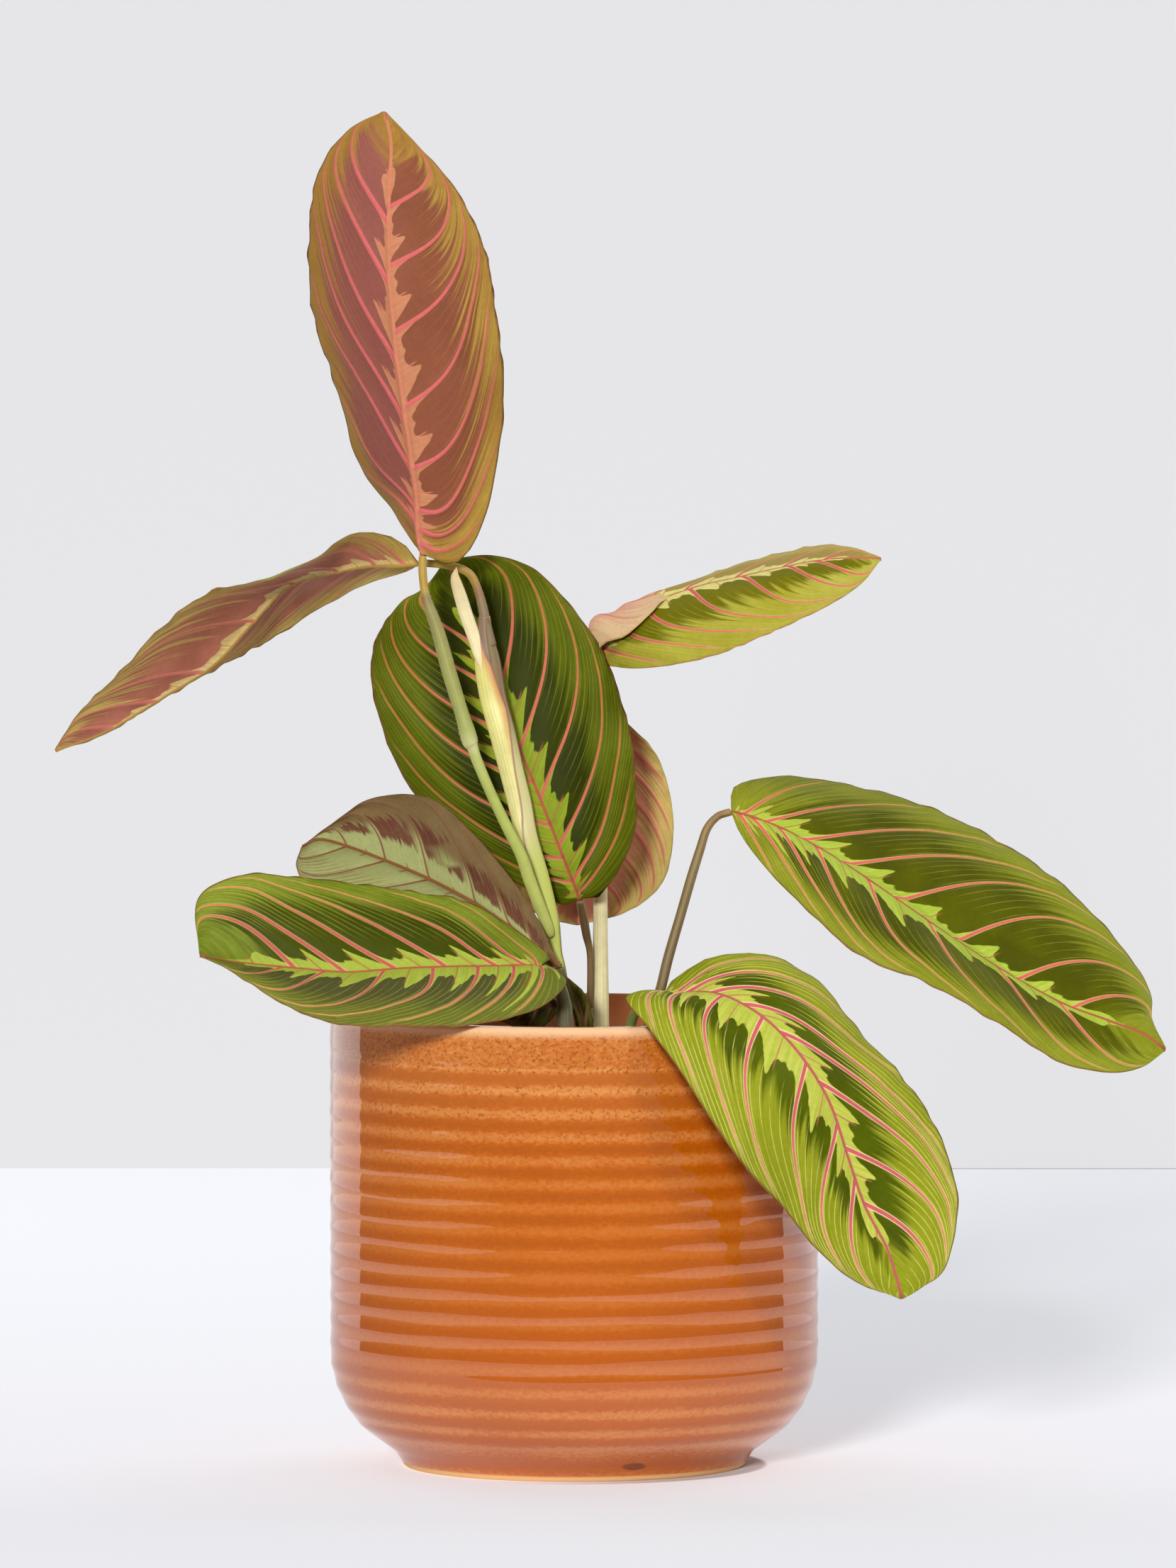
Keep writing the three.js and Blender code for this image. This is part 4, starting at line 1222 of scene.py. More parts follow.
def build_blade(name, leaf, veins, materials, rows):
    """The mesh of a blade, with its upper finish above and its lower finish below"""
    lines = blade_lines(leaf)
    rows_at = row_places(veins, rows)
    phase = sum(map(ord, name)) % 7
    left, right = (half_sheet(leaf, lines, veins, side, rows_at, phase) for side in (LEFT, RIGHT))
    sheets = [np.concatenate([left[face][:, ::-1], right[face][:, 1:]], axis=1)
              for face in ("upper", "lower")]
    count, columns = sheets[0].shape[:2]
    top, bottom, band = blade_faces(count, columns)
    faces = np.vstack([top, bottom, band])
    flat = faces % (count * columns)
    on_left = (flat % columns).mean(1) < columns // 2
    maps = {label: corner_values(flat, columns, left[label], right[label], on_left)
            for label in ("veins", "feather", "distances", "spacing")}
    picks = np.concatenate([np.zeros(len(top)), np.ones(len(bottom) + len(band))])
    return piece(name, np.vstack(sheets).reshape(-1, 3), faces.tolist(), maps, materials, picks)


print("blade builder ready")

# %% [markdown]
# The leaf pattern is drawn by three node groups that every leaf face shares. The first reads the
# blade's own coordinates from its UV maps. Count numbers the veins, and begins at 20 on the right.

# %% Group: leaf coordinates
def coordinates_group():
    """Where a point lies on its blade"""
    labels = ["Share", "Across", "Reach", "Along", "From Vein", "From Rib", "Spacing", "Count"]
    group, _, out = new_group("leaf coordinates", [], labels)
    count, across = map_parts(group, "veins")
    reach, along = map_parts(group, "feather")
    from_vein, from_rib = map_parts(group, "distances")
    spacing = map_parts(group, "spacing")[0]
    share = calc(group, "FRACT", count)
    found = (share, across, reach, along, from_vein, from_rib, spacing, count)
    link(group, out, dict(zip(labels, found)))
    return group


leaf_coordinates = coordinates_group()
print(leaf_coordinates.name)

# %% [markdown]
# The second group draws the feather. Between two veins its edge makes a narrow dark finger beside
# the first vein, a pale tooth, a blunt dark lobe, and a pale strip that runs out beside the next
# vein. A float curve holds that outline and Bite deepens it. Three sizes of noise scallop it: FRAY
# gives the scale and detail of each, and how far it moves the edge. Shade is the dark blotch. It
# ends outwards in streaks, and stays clear of the blade's base and tip.

# %% Group: feather
TOOTH_OUTLINE = [(0.0, 0.32), (0.05, 0.28), (0.10, 0.31), (0.16, 0.42), (0.22, 0.55), (0.28, 0.67),
                 (0.33, 0.78), (0.37, 0.83), (0.40, 0.79), (0.43, 0.64), (0.47, 0.51), (0.53, 0.43),
                 (0.61, 0.40), (0.69, 0.44), (0.77, 0.39), (0.86, 0.42), (0.91, 0.54), (0.95, 0.74),
                 (1.0, 1.0)]
OUTLINE_SCALE = 1.35
BITE_LEVEL = 0.75
FRAY = {"fine": (22.0, 3.0, 0.10), "scallops": (6.5, 1.0, 0.34), "slow": (1.7, 0.0, 0.3)}
LEAST_REACH = 0.12
END_RAGGED = 0.2
EDGE_SOFTNESS = 0.008
STREAKS_A_VEIN = 9.0


def feather_group():
    """Masks of the pale feather and of the dark blotch outside it"""
    group, given, out = new_group("feather", [
        "Share", "Across", "Reach", "Along", "Count", "Fade From", "Fade To", "Streaks", "Bite",
        "Base", "Tip"], ["Pale", "Shade"])
    height = curve(group, given["Share"], TOOTH_OUTLINE)
    outline = calc(group, "MULTIPLY_ADD", calc(group, "SUBTRACT", height, BITE_LEVEL), given["Bite"], height)
    outline = times(group, outline, OUTLINE_SCALE)
    place = place_from(group, given["Count"], given["Across"])
    for scale, detail, amount in FRAY.values():
        outline = wavy(group, outline, clouds(group, place, scale, detail), amount)
    edge = times(group, calc(group, "MAXIMUM", outline, LEAST_REACH), given["Reach"])
    pale = fade(group, calc(group, "SUBTRACT", given["Across"], edge), EDGE_SOFTNESS, -EDGE_SOFTNESS)
    streak_place = place_from(group, times(group, given["Count"], STREAKS_A_VEIN), given["Across"])
    uneven = calc(group, "SUBTRACT", clouds(group, streak_place, 1.0), 0.5)
    outward = calc(group, "MULTIPLY_ADD", uneven, given["Streaks"], given["Across"])
    outward = calc(group, "ADD", outward, scaled(group, given["Along"], 0.2, -0.08))
    dark = fade(group, outward, given["Fade To"], given["Fade From"])
    along = scaled(group, uneven, END_RAGGED, given["Along"])
    base = fade(group, calc(group, "SUBTRACT", along, given["Base"]), -0.02, 0.02)
    tip = fade(group, calc(group, "SUBTRACT", along, given["Tip"]), 0.05, -0.05)
    link(group, out, {"Pale": pale, "Shade": times(group, dark, times(group, base, tip))})
    return group


feather = feather_group()
print(feather.name)

# %% [markdown]
# The third group draws the lines: side veins that thin towards the margin, the paler skin beside
# them, the midrib, a fine vein in each tooth, and the hair-fine nerves that run between the veins.

# %% Group: vein lines
def drawn_line(tree, distance, half, outer, inner):
    """1 on a line of that half width, and 0 off it, with a soft edge from inner to outer"""
    return fade(tree, distance, calc(tree, "ADD", half, outer), calc(tree, "SUBTRACT", half, inner))


def lines_group():
    """Masks of the veins, their borders, the midrib, the tooth veins and the nerves"""
    group, given, out = new_group("vein lines", [
        "Share", "Across", "Reach", "From Vein", "From Rib", "Spacing", "Count", "Vein Width",
        "Border Width", "Rib Width", "Nerves"], ["Vein", "Border", "Rib", "Tooth Vein", "Nerve", "Streak"])
    across, spacing, count = given["Across"], given["Spacing"], given["Count"]
    taper = scaled(group, across, -0.62, 1.0)
    half = times(group, times(group, given["Vein Width"], 0.5), taper)
    border_half = calc(group, "ADD", half, times(group, given["Border Width"], taper))
    near_margin = fade(group, across, 0.985, 0.88)
    vein = drawn_line(group, given["From Vein"], half, 0.14, 0.10)
    border = drawn_line(group, given["From Vein"], border_half, 0.1, 0.25)
    rib = drawn_line(group, given["From Rib"], times(group, given["Rib Width"], 0.5), 0.16, 0.12)
    aside = calc(group, "ABSOLUTE", calc(group, "SUBTRACT", given["Share"], 0.47))
    inside = fade(group, across, given["Reach"], times(group, given["Reach"], 0.75))
    tooth = times(group, fade(group, times(group, aside, spacing), 0.32, 0.12), inside)
    turns = calc(group, "FRACT", times(group, count, given["Nerves"]))
    ridge = calc(group, "ABSOLUTE", calc(group, "SUBTRACT", turns, 0.5))
    from_nerve = calc(group, "DIVIDE", times(group, ridge, spacing), given["Nerves"])
    patchy = clouds(group, place_from(group, times(group, count, 9.0), times(group, across, 6.0)), 1.0)
    nerve = times(group, fade(group, from_nerve, 0.2, 0.06), fade(group, patchy, 0.25, 0.55))
    streak_place = place_from(group, times(group, count, 18.0), times(group, across, 1.8))
    link(group, out, {
        "Vein": times(group, vein, near_margin), "Border": times(group, border, near_margin),
        "Rib": rib, "Tooth Vein": tooth, "Nerve": times(group, nerve, fade(group, across, 0.25, 0.45)),
        "Streak": clouds(group, streak_place, 1.0, 4.0)})
    return group


vein_lines = lines_group()
print(vein_lines.name)

# %% [markdown]
# A leaf face is painted in layers, as the real one is built: the outer green, the dark blotch over
# it, the pale feather, the fine nerves, then the veins with their pale borders, and last the midrib
# and the thin red margin. Each face has its own palette, and all of them share these layers.

# %% Leaf face finish
LEAF_ROUGHNESS = 0.5
LEAF_GLOSS = 0.06
DARK_SHARE = 0.95


def leaf_face(name, colours, fade_from=0.45, fade_to=0.65, streaks=0.8, bite=0.0, base=0.05, tip=0.86,
              vein_width=0.9, border_width=0.3, rib_width=0.9, nerves=6.0, nerve=0.3, border=0.6,
              tint_and_sheen=0.0, tint_and_sheen_from=-1.0, tint_and_sheen_side="LESS_THAN", blotches=False):
    """A leaf face; its numbers are for the feather and vein groups, or say how strong a layer is"""
    colours = {label: paint(*colour) for label, colour in colours.items()}
    material, tree, shader = new_material(name, Specular_IOR_Level=LEAF_GLOSS)
    where = placed(tree, leaf_coordinates)
    across = where["Across"]
    pattern = placed(tree, feather, {
        **{label: where[label] for label in ("Share", "Across", "Reach", "Along", "Count")},
        "Fade From": fade_from, "Fade To": fade_to, "Streaks": streaks, "Bite": bite, "Base": base,
        "Tip": tip})
    lines = placed(tree, vein_lines, {
        **{label: where[label] for label in ("Share", "Across", "Reach", "From Vein", "From Rib",
                                             "Spacing", "Count")},
        "Vein Width": vein_width, "Border Width": border_width, "Rib Width": rib_width,
        "Nerves": nerves})
    streak = lines["Streak"]
    cells = clouds(tree, object_place(tree), 700.0)
    cloud = clouds(tree, object_place(tree), 60.0)

    # The outer green and the dark blotch, with a tint on one half of the blade; on the upper face of the low
    # left leaf that tint is a painted grey sheen
    half_mask = calc(tree, tint_and_sheen_side, where["Count"], RIGHT_COUNT - 0.5)
    tint_and_sheen_mask = times(tree, half_mask, tint_and_sheen)
    outer_tint_and_sheen_mask = times(tree, tint_and_sheen_mask, fade(tree, across, tint_and_sheen_from, tint_and_sheen_from + 0.2))
    patchy = calc(tree, "ADD", times(tree, streak, 0.5), times(tree, cloud, 0.5))
    colour = mix(tree, fade(tree, patchy, 0.34, 0.7), colours["outer"], colours["outer_light"])
    colour = mix(tree, outer_tint_and_sheen_mask, colour, colours.get("outer_tint_and_sheen", colours["outer"]))
    dark = mix(tree, fade(tree, cloud, 0.35, 0.65), colours["dark"], colours["deep"])
    dark = mix(tree, tint_and_sheen_mask, dark, colours.get("dark_tint_and_sheen", colours["dark"]))
    shade = times(tree, pattern["Shade"], DARK_SHARE)
    if blotches:
        inner = fade(tree, scaled(tree, streak, 0.3, across), 0.42, 0.5)
        patch = times(tree, fade(tree, where["Share"], 0.06, 0.2), fade(tree, where["Share"], 0.96, 0.9))
        patch = times(tree, patch, fade(tree, cloud, 0.4, 0.5))
        shade = times(tree, times(tree, shade, inner), times(tree, patch, half_mask))
    colour = mix(tree, shade, colour, dark)

    # The nerves, the feather and the veins over them
    pale = mix(tree, fade(tree, streak, 0.3, 0.7), colours["feather"], colours["feather_light"])
    vein = mix(tree, fade(tree, across, 0.35, 0.9), colours["vein"], colours["vein_far"])
    for mask, layer in (
            (times(tree, lines["Nerve"], nerve), colours["nerve"]), (pattern["Pale"], pale),
            (times(tree, lines["Tooth Vein"], 0.7), colours["rib"]),
            (times(tree, lines["Border"], border), colours["border"]), (lines["Vein"], vein),
            (lines["Rib"], colours["rib"]),
            (times(tree, fade(tree, across, 0.975, 0.995), 0.8), colours["margin"])):
        colour = mix(tree, mask, colour, layer)
    link(tree, shader, {"Base Color": greyed(tree, colour, scaled(tree, cells, 0.24, 0.88)),
                        "Roughness": scaled(tree, cloud, 0.18, LEAF_ROUGHNESS - 0.09)})
    height = calc(tree, "ADD", times(tree, streak, 0.6), times(tree, cells, 0.4))
    add_bump(tree, shader, height, 0.00012, 0.4)
    return material


print("leaf faces ready")

# %% [markdown]
# The palettes. Above, the leaves run from deep green in the middle of the plant to lime green at the
# front, with pink veins. Below, the same pattern is mauve, olive and peach. Where the photo doesn't
# show a face, it takes the palette of a leaf that shows its own.

# %% Palettes of the upper faces
upper_green = {
    "outer": (118, 126, 20), "outer_light": (142, 146, 38), "dark": (84, 87, 0), "deep": (68, 71, 0),
    "feather": (156, 178, 52), "feather_light": (176, 192, 74), "nerve": (176, 178, 74),
    "border": (220, 196, 122), "vein": (208, 104, 90), "vein_far": (200, 134, 80),
    "rib": (168, 92, 62), "margin": (132, 92, 48),
}
centre_green = dict(
    upper_green, outer=(78, 86, 4), outer_light=(94, 104, 14), dark=(50, 56, 0), deep=(40, 46, 0),
    feather=(126, 144, 28), feather_light=(146, 160, 46), nerve=(146, 148, 44), vein=(200, 106, 84),
    vein_far=(184, 112, 60))
lime_green = dict(
    upper_green, outer=(130, 138, 18), outer_light=(150, 154, 36), dark=(78, 90, 0), deep=(62, 72, 0),
    feather=(170, 180, 58), feather_light=(192, 196, 86), nerve=(214, 208, 112),
    border=(234, 206, 150), vein=(198, 92, 98), vein_far=(206, 138, 96), rib=(180, 96, 86))
# The dark and outer tints of this palette are a painted grey sheen over the left half of the blade
low_green = dict(
    upper_green, outer=(104, 118, 26), outer_light=(130, 142, 44), dark=(64, 70, 4), deep=(54, 60, 2),
    vein=(190, 92, 84), feather=(152, 166, 54), feather_light=(166, 180, 72), dark_tint_and_sheen=(82, 80, 46),
    outer_tint_and_sheen=(96, 98, 38))
high_green = dict(
    upper_green, outer=(160, 152, 42), outer_light=(180, 172, 72), dark=(112, 106, 0),
    deep=(98, 96, 0), feather=(204, 198, 110), feather_light=(214, 208, 128), border=(224, 182, 130),
    vein=(200, 94, 86), vein_far=(206, 124, 92), rib=(190, 108, 80), margin=(190, 140, 80),
    outer_tint_and_sheen=(172, 150, 74), dark_tint_and_sheen=(160, 136, 62))
old_olive = dict(
    upper_green, outer=(66, 64, 18), outer_light=(86, 82, 26), dark=(50, 46, 14), deep=(38, 34, 10),
    feather=(84, 84, 26), feather_light=(100, 98, 34), nerve=(96, 92, 36), border=(100, 92, 40),
    vein=(104, 74, 44), vein_far=(92, 76, 36), rib=(84, 58, 32), margin=(54, 40, 22))
print("upper palettes ready")

# %% Palettes of the lower faces
under_mauve = {
    "outer": (158, 116, 50), "outer_light": (180, 146, 64), "dark": (142, 80, 60),
    "deep": (134, 74, 54), "feather": (190, 124, 88), "feather_light": (200, 134, 98),
    "nerve": (176, 136, 72), "border": (206, 124, 100), "vein": (212, 104, 102),
    "vein_far": (204, 106, 94), "rib": (206, 126, 96), "margin": (140, 94, 60),
    "dark_tint_and_sheen": (150, 85, 80),
}
under_rose = dict(
    under_mauve, outer=(184, 152, 76), outer_light=(208, 184, 104), dark=(184, 112, 94),
    deep=(164, 94, 78), feather=(202, 170, 106), feather_light=(220, 194, 136), border=(214, 166, 122),
    vein=(206, 116, 100), vein_far=(206, 122, 104), rib=(186, 148, 74))
under_grey = dict(
    under_mauve, outer=(144, 146, 88), outer_light=(154, 158, 102), dark=(98, 54, 42),
    deep=(88, 48, 38), feather=(148, 150, 92), feather_light=(158, 162, 104), nerve=(112, 82, 52),
    border=(146, 130, 80), vein=(122, 80, 56), vein_far=(112, 70, 50), rib=(124, 80, 44),
    margin=(104, 70, 48), outer_tint_and_sheen=(110, 80, 50), dark_tint_and_sheen=(98, 54, 42))
under_blush = dict(
    under_mauve, outer=(196, 174, 96), outer_light=(210, 194, 112), dark=(212, 138, 112),
    deep=(192, 122, 98), feather=(212, 154, 118), feather_light=(218, 166, 128), vein=(212, 108, 104),
    vein_far=(202, 114, 96), margin=(172, 164, 84))
under_curl = dict(
    under_blush, outer=(206, 172, 130), outer_light=(214, 186, 146), dark=(204, 150, 128),
    deep=(196, 140, 120), feather=(208, 164, 134), feather_light=(214, 174, 144), vein=(196, 112, 104),
    vein_far=(200, 130, 110), margin=(196, 160, 100))
print("lower palettes ready")

# %% Leaf materials
LEAF_FACES = {
    "upper_green": (upper_green, dict(fade_from=.56, fade_to=.86, vein_width=1.05, border=.8, streaks=.5)),
    "upper_centre": (centre_green, dict(fade_from=.44, fade_to=.68, border=.15, vein_width=1.0,
                                        streaks=.45)),
    "upper_lime": (lime_green, dict(fade_from=.36, fade_to=.56, nerve=.6, border=.9, vein_width=1.1,
                                    border_width=.4, nerves=5.0, streaks=.6)),
    "upper_low": (low_green, dict(fade_from=.52, fade_to=.82, vein_width=1.05, tint_and_sheen=.8, tip=.8,
                                  streaks=.5)),
    "upper_high": (high_green, dict(fade_from=.48, fade_to=.66, vein_width=1.1, border=.8, tip=.93,
                                    base=.12, tint_and_sheen=.9, streaks=.7)),
    "upper_old": (old_olive, dict(nerve=.4, border=.2)),
    "under_mauve": (under_mauve, dict(fade_from=.62, fade_to=.86, nerve=.2, border=.25, vein_width=1.25,
                                      bite=.45, tip=.88, tint_and_sheen=.8, streaks=1.1,
                                      tint_and_sheen_side="GREATER_THAN")),
    "under_rose": (under_rose, dict(fade_from=.5, fade_to=.9, nerve=.6, border=.3, vein_width=1.1,
                                    streaks=2.1, tip=.97)),
    "under_grey": (under_grey, dict(fade_from=.6, fade_to=.66, nerve=.6, border=.2, vein_width=.5,
                                    blotches=True, tint_and_sheen=.85, tint_and_sheen_from=.38, base=.02, streaks=.6,
                                    rib_width=.6)),
    "under_blush": (under_blush, dict(fade_from=.5, fade_to=.9, border=.3, vein_width=1.1, streaks=1.8,
                                      base=0.0, tip=1.1)),
    "under_curl": (under_curl, dict(fade_from=.4, fade_to=.9, nerve=.2, border=.2, streaks=1.2,
                                    base=0.0, tip=1.1)),
}
leaf_finishes = {name: leaf_face(f"leaf_{name}", palette, **numbers)
                 for name, (palette, numbers) in LEAF_FACES.items()}
print(len(leaf_finishes), "leaf finishes")

# %% [markdown]
# Now the blades themselves: each takes its shape, its veins and a finish for its upper and its
# lower face, and stands for its node.

# %% Make the blades
OLD_LEAF_ROWS = 60
OLD_LEAVES = ("leaf_old", "leaf_inside")
LEAF_SIDES = {
    "leaf_top": ("upper_green", "under_mauve"), "leaf_high_left": ("upper_green", "under_rose"),
    "leaf_centre": ("upper_centre", "under_mauve"), "leaf_high_right": ("upper_high", "under_curl"),
    "leaf_back": ("upper_green", "under_blush"), "leaf_mid_left": ("upper_green", "under_grey"),
    "leaf_low_left": ("upper_low", "under_mauve"), "leaf_right": ("upper_green", "under_mauve"),
    "leaf_low_right": ("upper_lime", "under_mauve"), "leaf_old": ("upper_old", "upper_old"),
    "leaf_inside": ("upper_old", "upper_old"),
}

for node, faces in LEAF_SIDES.items():
    old = node in OLD_LEAVES
    made = build_blade(f"{node}_blade", leaf_shapes[node], leaf_veins[node],
                       [leaf_finishes[face] for face in faces], OLD_LEAF_ROWS if old else BLADE_ROWS)
    stand_for(made, node)

# %% [markdown]
# Stalks are tubes with an oval section along a smooth line. Each is a short list of stations: the
# centre of the stalk, half its width seen from the front and half its depth. They bend, thicken at
# the joints and thin out towards the blade. One number in place of the last two means a round
# section. The sheath and the rolled leaf are written alike.

# %% Stations of the stems
stem_rows = {}
stem_rows["shoot_sheath"] = [
    (-2, -14, 92, 1.8), (-2, -14, 126.5, 1.8), (-3.7, -14, 141.5, 1.7, 1.6),
    (-5.1, -14, 147.5, 1.85, 1.6), (-5.8, -14, 152.5, 2.1, 1.7), (-6.6, -14, 157, 2.45, 1.8),
    (-9.5, -14, 169, 2.6, 1.8), (-13.5, -14, 181, 3.2, 1.8), (-15.5, -13, 190.5, 3.5, 1.8),
    (-18, -13, 200.5, 3.6, 1.9), (-20.5, -13, 211, 3.9, 2), (-23, -12, 220.5, 4, 2),
    (-24.4, -12, 229, 4, 2), (-24.8, -12, 232.5, 3.6, 2), (-25.2, -12, 236, 2.9, 1.9),
    (-25.5, -12, 240.2, 2.2, 1.8), (-25.6, -12, 243.4, 1.8, 1.7),
]
stem_rows["rolled_leaf"] = [
    (-26.2, -13.3, 228.5, 0.5, 0.4), (-27.3, -13.2, 232.5, 1.5, 0.9), (-28.6, -12.9, 237.5, 2, 1.2),
    (-31, -13.4, 244.5, 2.1, 1.1), (-32.5, -14.2, 249.5, 2, 1), (-33.9, -14.9, 254.5, 1.5, 0.7),
    (-33.5, -15, 257.9, 0.15),
]
stem_rows["petiole_top"] = [
    (-7, -16.2, 152.5, 1.2, 0.8), (-7.6, -17.4, 155.5, 1.6, 1.3), (-12.5, -20, 168.5, 1.8, 1.6),
    (-15, -21, 176, 1.7, 1.6), (-19, -22, 184, 1.6), (-23.5, -23, 193.5, 1.5), (-27.5, -24, 203, 1.55),
    (-28.8, -24.3, 206.8, 1.65), (-29.5, -24.5, 208.5, 2.25, 2.2), (-30.5, -25, 212, 2.3, 2.2),
    (-32, -25, 217, 2), (-35.5, -25, 228.5, 2.1), (-38.5, -25, 239.5, 1.9), (-41.5, -25, 248, 1.5),
    (-42.5, -24.5, 252, 1.2), (-43, -24.2, 257, 1.2), (-43, -24, 261.2, 1.1),
]
stem_rows["petiole_high_left"] = [
    (-23.6, -12, 235.2, 1.6), (-25, -12, 240.5, 1.6), (-26, -12, 246, 1.4), (-27.5, -12, 251.5, 1.2),
    (-29.5, -12, 255.5, 1.2), (-33, -12, 257.5, 1.2), (-38, -12, 258.5, 1.1), (-44, -12, 259, 1.1),
]
stem_rows["petiole_centre"] = [
    (4.4, 3.7, 131, 0.95), (4.6, 3.2, 137, 0.95), (4.5, 2.2, 146.5, 0.95), (3.5, 0, 152, 1.2),
    (2.5, -3, 158, 1.3), (1.7, -5.4, 161.8, 1.1),
]
stem_rows["stem_thick"] = [
    (7.5, 6, 90.5, 2.6, 2.4), (7.5, 6, 125, 2.5, 2.2), (7.5, 6, 155.5, 2.1, 2), (7.5, 7, 175.5, 2),
    (8, 8, 192, 2),
]
stem_rows["petiole_high_right"] = [
    (8, 8, 192.4, 1.6), (8.5, 8, 204, 1.3), (7.5, 8, 216.5, 1.2), (6.5, 8.2, 223.5, 1.2),
    (5.4, 8.6, 227.6, 1.1),
]
stem_rows["petiole_back"] = [
    (9, 10.75, 187, 1.2), (9.6, 11.6, 193.5, 1.2), (10.3, 14, 206, 1.2), (9.8, 15, 216, 1.1),
    (9.2, 17, 219.3, 1.1), (8.7, 19.5, 219.4, 1), (8.5, 20, 216.9, 1),
]
stem_rows["petiole_right"] = [
    (16, 4, 90.5, 1.7), (21, 3, 124.5, 1.6), (24.5, 2, 135.5, 1.5), (27, 3, 145.5, 1.5),
    (30.5, 4, 157.5, 1.4), (33.5, 4.5, 168, 1.4), (36, 5, 176, 1.3), (38, 5.5, 182, 1.2),
    (41, 6, 185.5, 1.1), (44.5, 6, 186.8, 1.1),
]
stem_rows["petiole_low_right"] = [
    (15, -26, 93, 1.6), (15, -27, 117.5, 1.5), (16, -31, 128, 1.4), (19, -38, 135, 1.3),
    (24, -45.5, 137.3, 1.1),
]
stem_rows["petiole_mid_left"] = [
    (-2, -23, 93, 1.5), (-2, -23, 127, 1.5), (-2.2, -23, 137.5, 1.4), (-3.9, -23.9, 144, 1),
]
stem_rows["petiole_low_left"] = [
    (-1, -33, 94, 2.4, 2), (-2.5, -33, 128, 2.4, 2), (-3, -34, 135.5, 2, 1.8), (-5, -36, 142.5, 1.4),
    (-8.5, -37.8, 145.3, 1),
]
print("stations of", len(stem_rows), "stems")

# %% [markdown]
# A tube is a row of rings. The mesh has far more rings than stations, and the UV map named stalk
# holds the way round and the share of the length. The end is a small dome, not a cut.

# %% Tubes
RING_STEP = 0.7
STEM_SIDES = 28
DOME_TILTS = (30, 55, 75)
DOME_HEIGHT = 0.5
LENGTH_STEPS = 200
FEWEST_RINGS = 12


def full_rows(rows):
    """Stations of five numbers: the width is the depth too where only one is given"""
    return np.array([(*row, row[3])[:5] for row in rows], float)


def tube_frame(rows, count):
    """Centres, directions across and deep, tangents and half sizes of the rings of a tube"""
    rows = full_rows(rows)
    shares = np.linspace(0, 1, count)
    reach = 0.5 / count
    along = unit(spline(rows[:, :3], shares + reach) - spline(rows[:, :3], shares - reach))
    across = unit(np.cross([0, 1, 0], along))
    stations = spline(rows, shares)
    return stations[:, :3], across, np.cross(along, across), along, stations[:, 3:]


def oval(across, deep, halves, angle, factor):
    """Points round the rings of a tube, from their centres"""
    return (across[:, None] * (halves[:, :1] * np.cos(angle) * factor)[..., None]
            + deep[:, None] * (halves[:, 1:] * np.sin(angle) * factor)[..., None])


def build_tube(name, rows, material, shape, sides=STEM_SIDES):
    """A closed tube; shape gives a factor on the radius for each share of length and turn"""
    line = spline(full_rows(rows)[:, :3], np.linspace(0, 1, LENGTH_STEPS))
    count = max(FEWEST_RINGS, int(np.linalg.norm(np.diff(line, axis=0), axis=1).sum() / RING_STEP))
    centres, across, deep, along, halves = tube_frame(rows, count)
    turn = np.arange(sides) / sides
    share = np.linspace(0, 1, count)
    factor = shape(share[:, None], turn[None, :])
    rings = centres[:, None] + oval(across, deep, halves, 2 * math.pi * turn, factor)
    domes = []
    for tilt in np.radians(DOME_TILTS):
        rise = math.sin(tilt) * halves[-1].mean() * DOME_HEIGHT
        domes.append(centres[-1] + (rings[-1] - centres[-1]) * math.cos(tilt) + along[-1] * rise)
    rings = np.concatenate([rings, np.array(domes)])
    share = np.concatenate([share, np.ones(len(domes))])
    quads = ring_faces(len(rings), sides)
    last = (len(rings) - 1) * sides
    faces = quads.tolist() + [list(range(sides))[::-1], [last + side for side in range(sides)]]
    row, side = np.divmod(quads.ravel(), sides)
    wrapped = np.repeat(quads[:, 0] % sides == sides - 1, 4) & (side == 0)
    corner = np.stack([np.where(wrapped, 1, side / sides), share[row]], -1)
    ends = [[0, 0]] * sides + [[0, 1]] * sides
    return piece(name, rings.reshape(-1, 3), faces, {"stalk": np.vstack([corner, ends])}, [material])


print("tubes ready")

# %% [markdown]
# A stalk's skin has fine lengthwise fibres and changes colour from the soil up: pale where it was
# sheathed, green or olive above, and yellow brown at the joint under the blade. A colour ramp along
# the length holds the changes, and a group shared by all stalks makes the fibres.

# %% Group: stalk fibres
def fibres_group():
    """Lengthwise fibres, clouds, and where a point lies along and round its stalk"""
    group, given, out = new_group(
        "stalk fibres", ["Fibres", "Length Scale"], ["Fibre", "Cloud", "Along", "Turn"])
    turn, along = map_parts(group, "stalk")
    angle = times(group, turn, 2 * math.pi)
    place = place_from(group, times(group, calc(group, "COSINE", angle), given["Fibres"]),
                       times(group, calc(group, "SINE", angle), given["Fibres"]),
                       times(group, along, given["Length Scale"]))
    link(group, out, {"Fibre": clouds(group, place, 0.25, 3.0), "Along": along, "Turn": turn,
                      "Cloud": clouds(group, object_place(group), 320.0, 3.0)})
    return group


stalk_fibres = fibres_group()


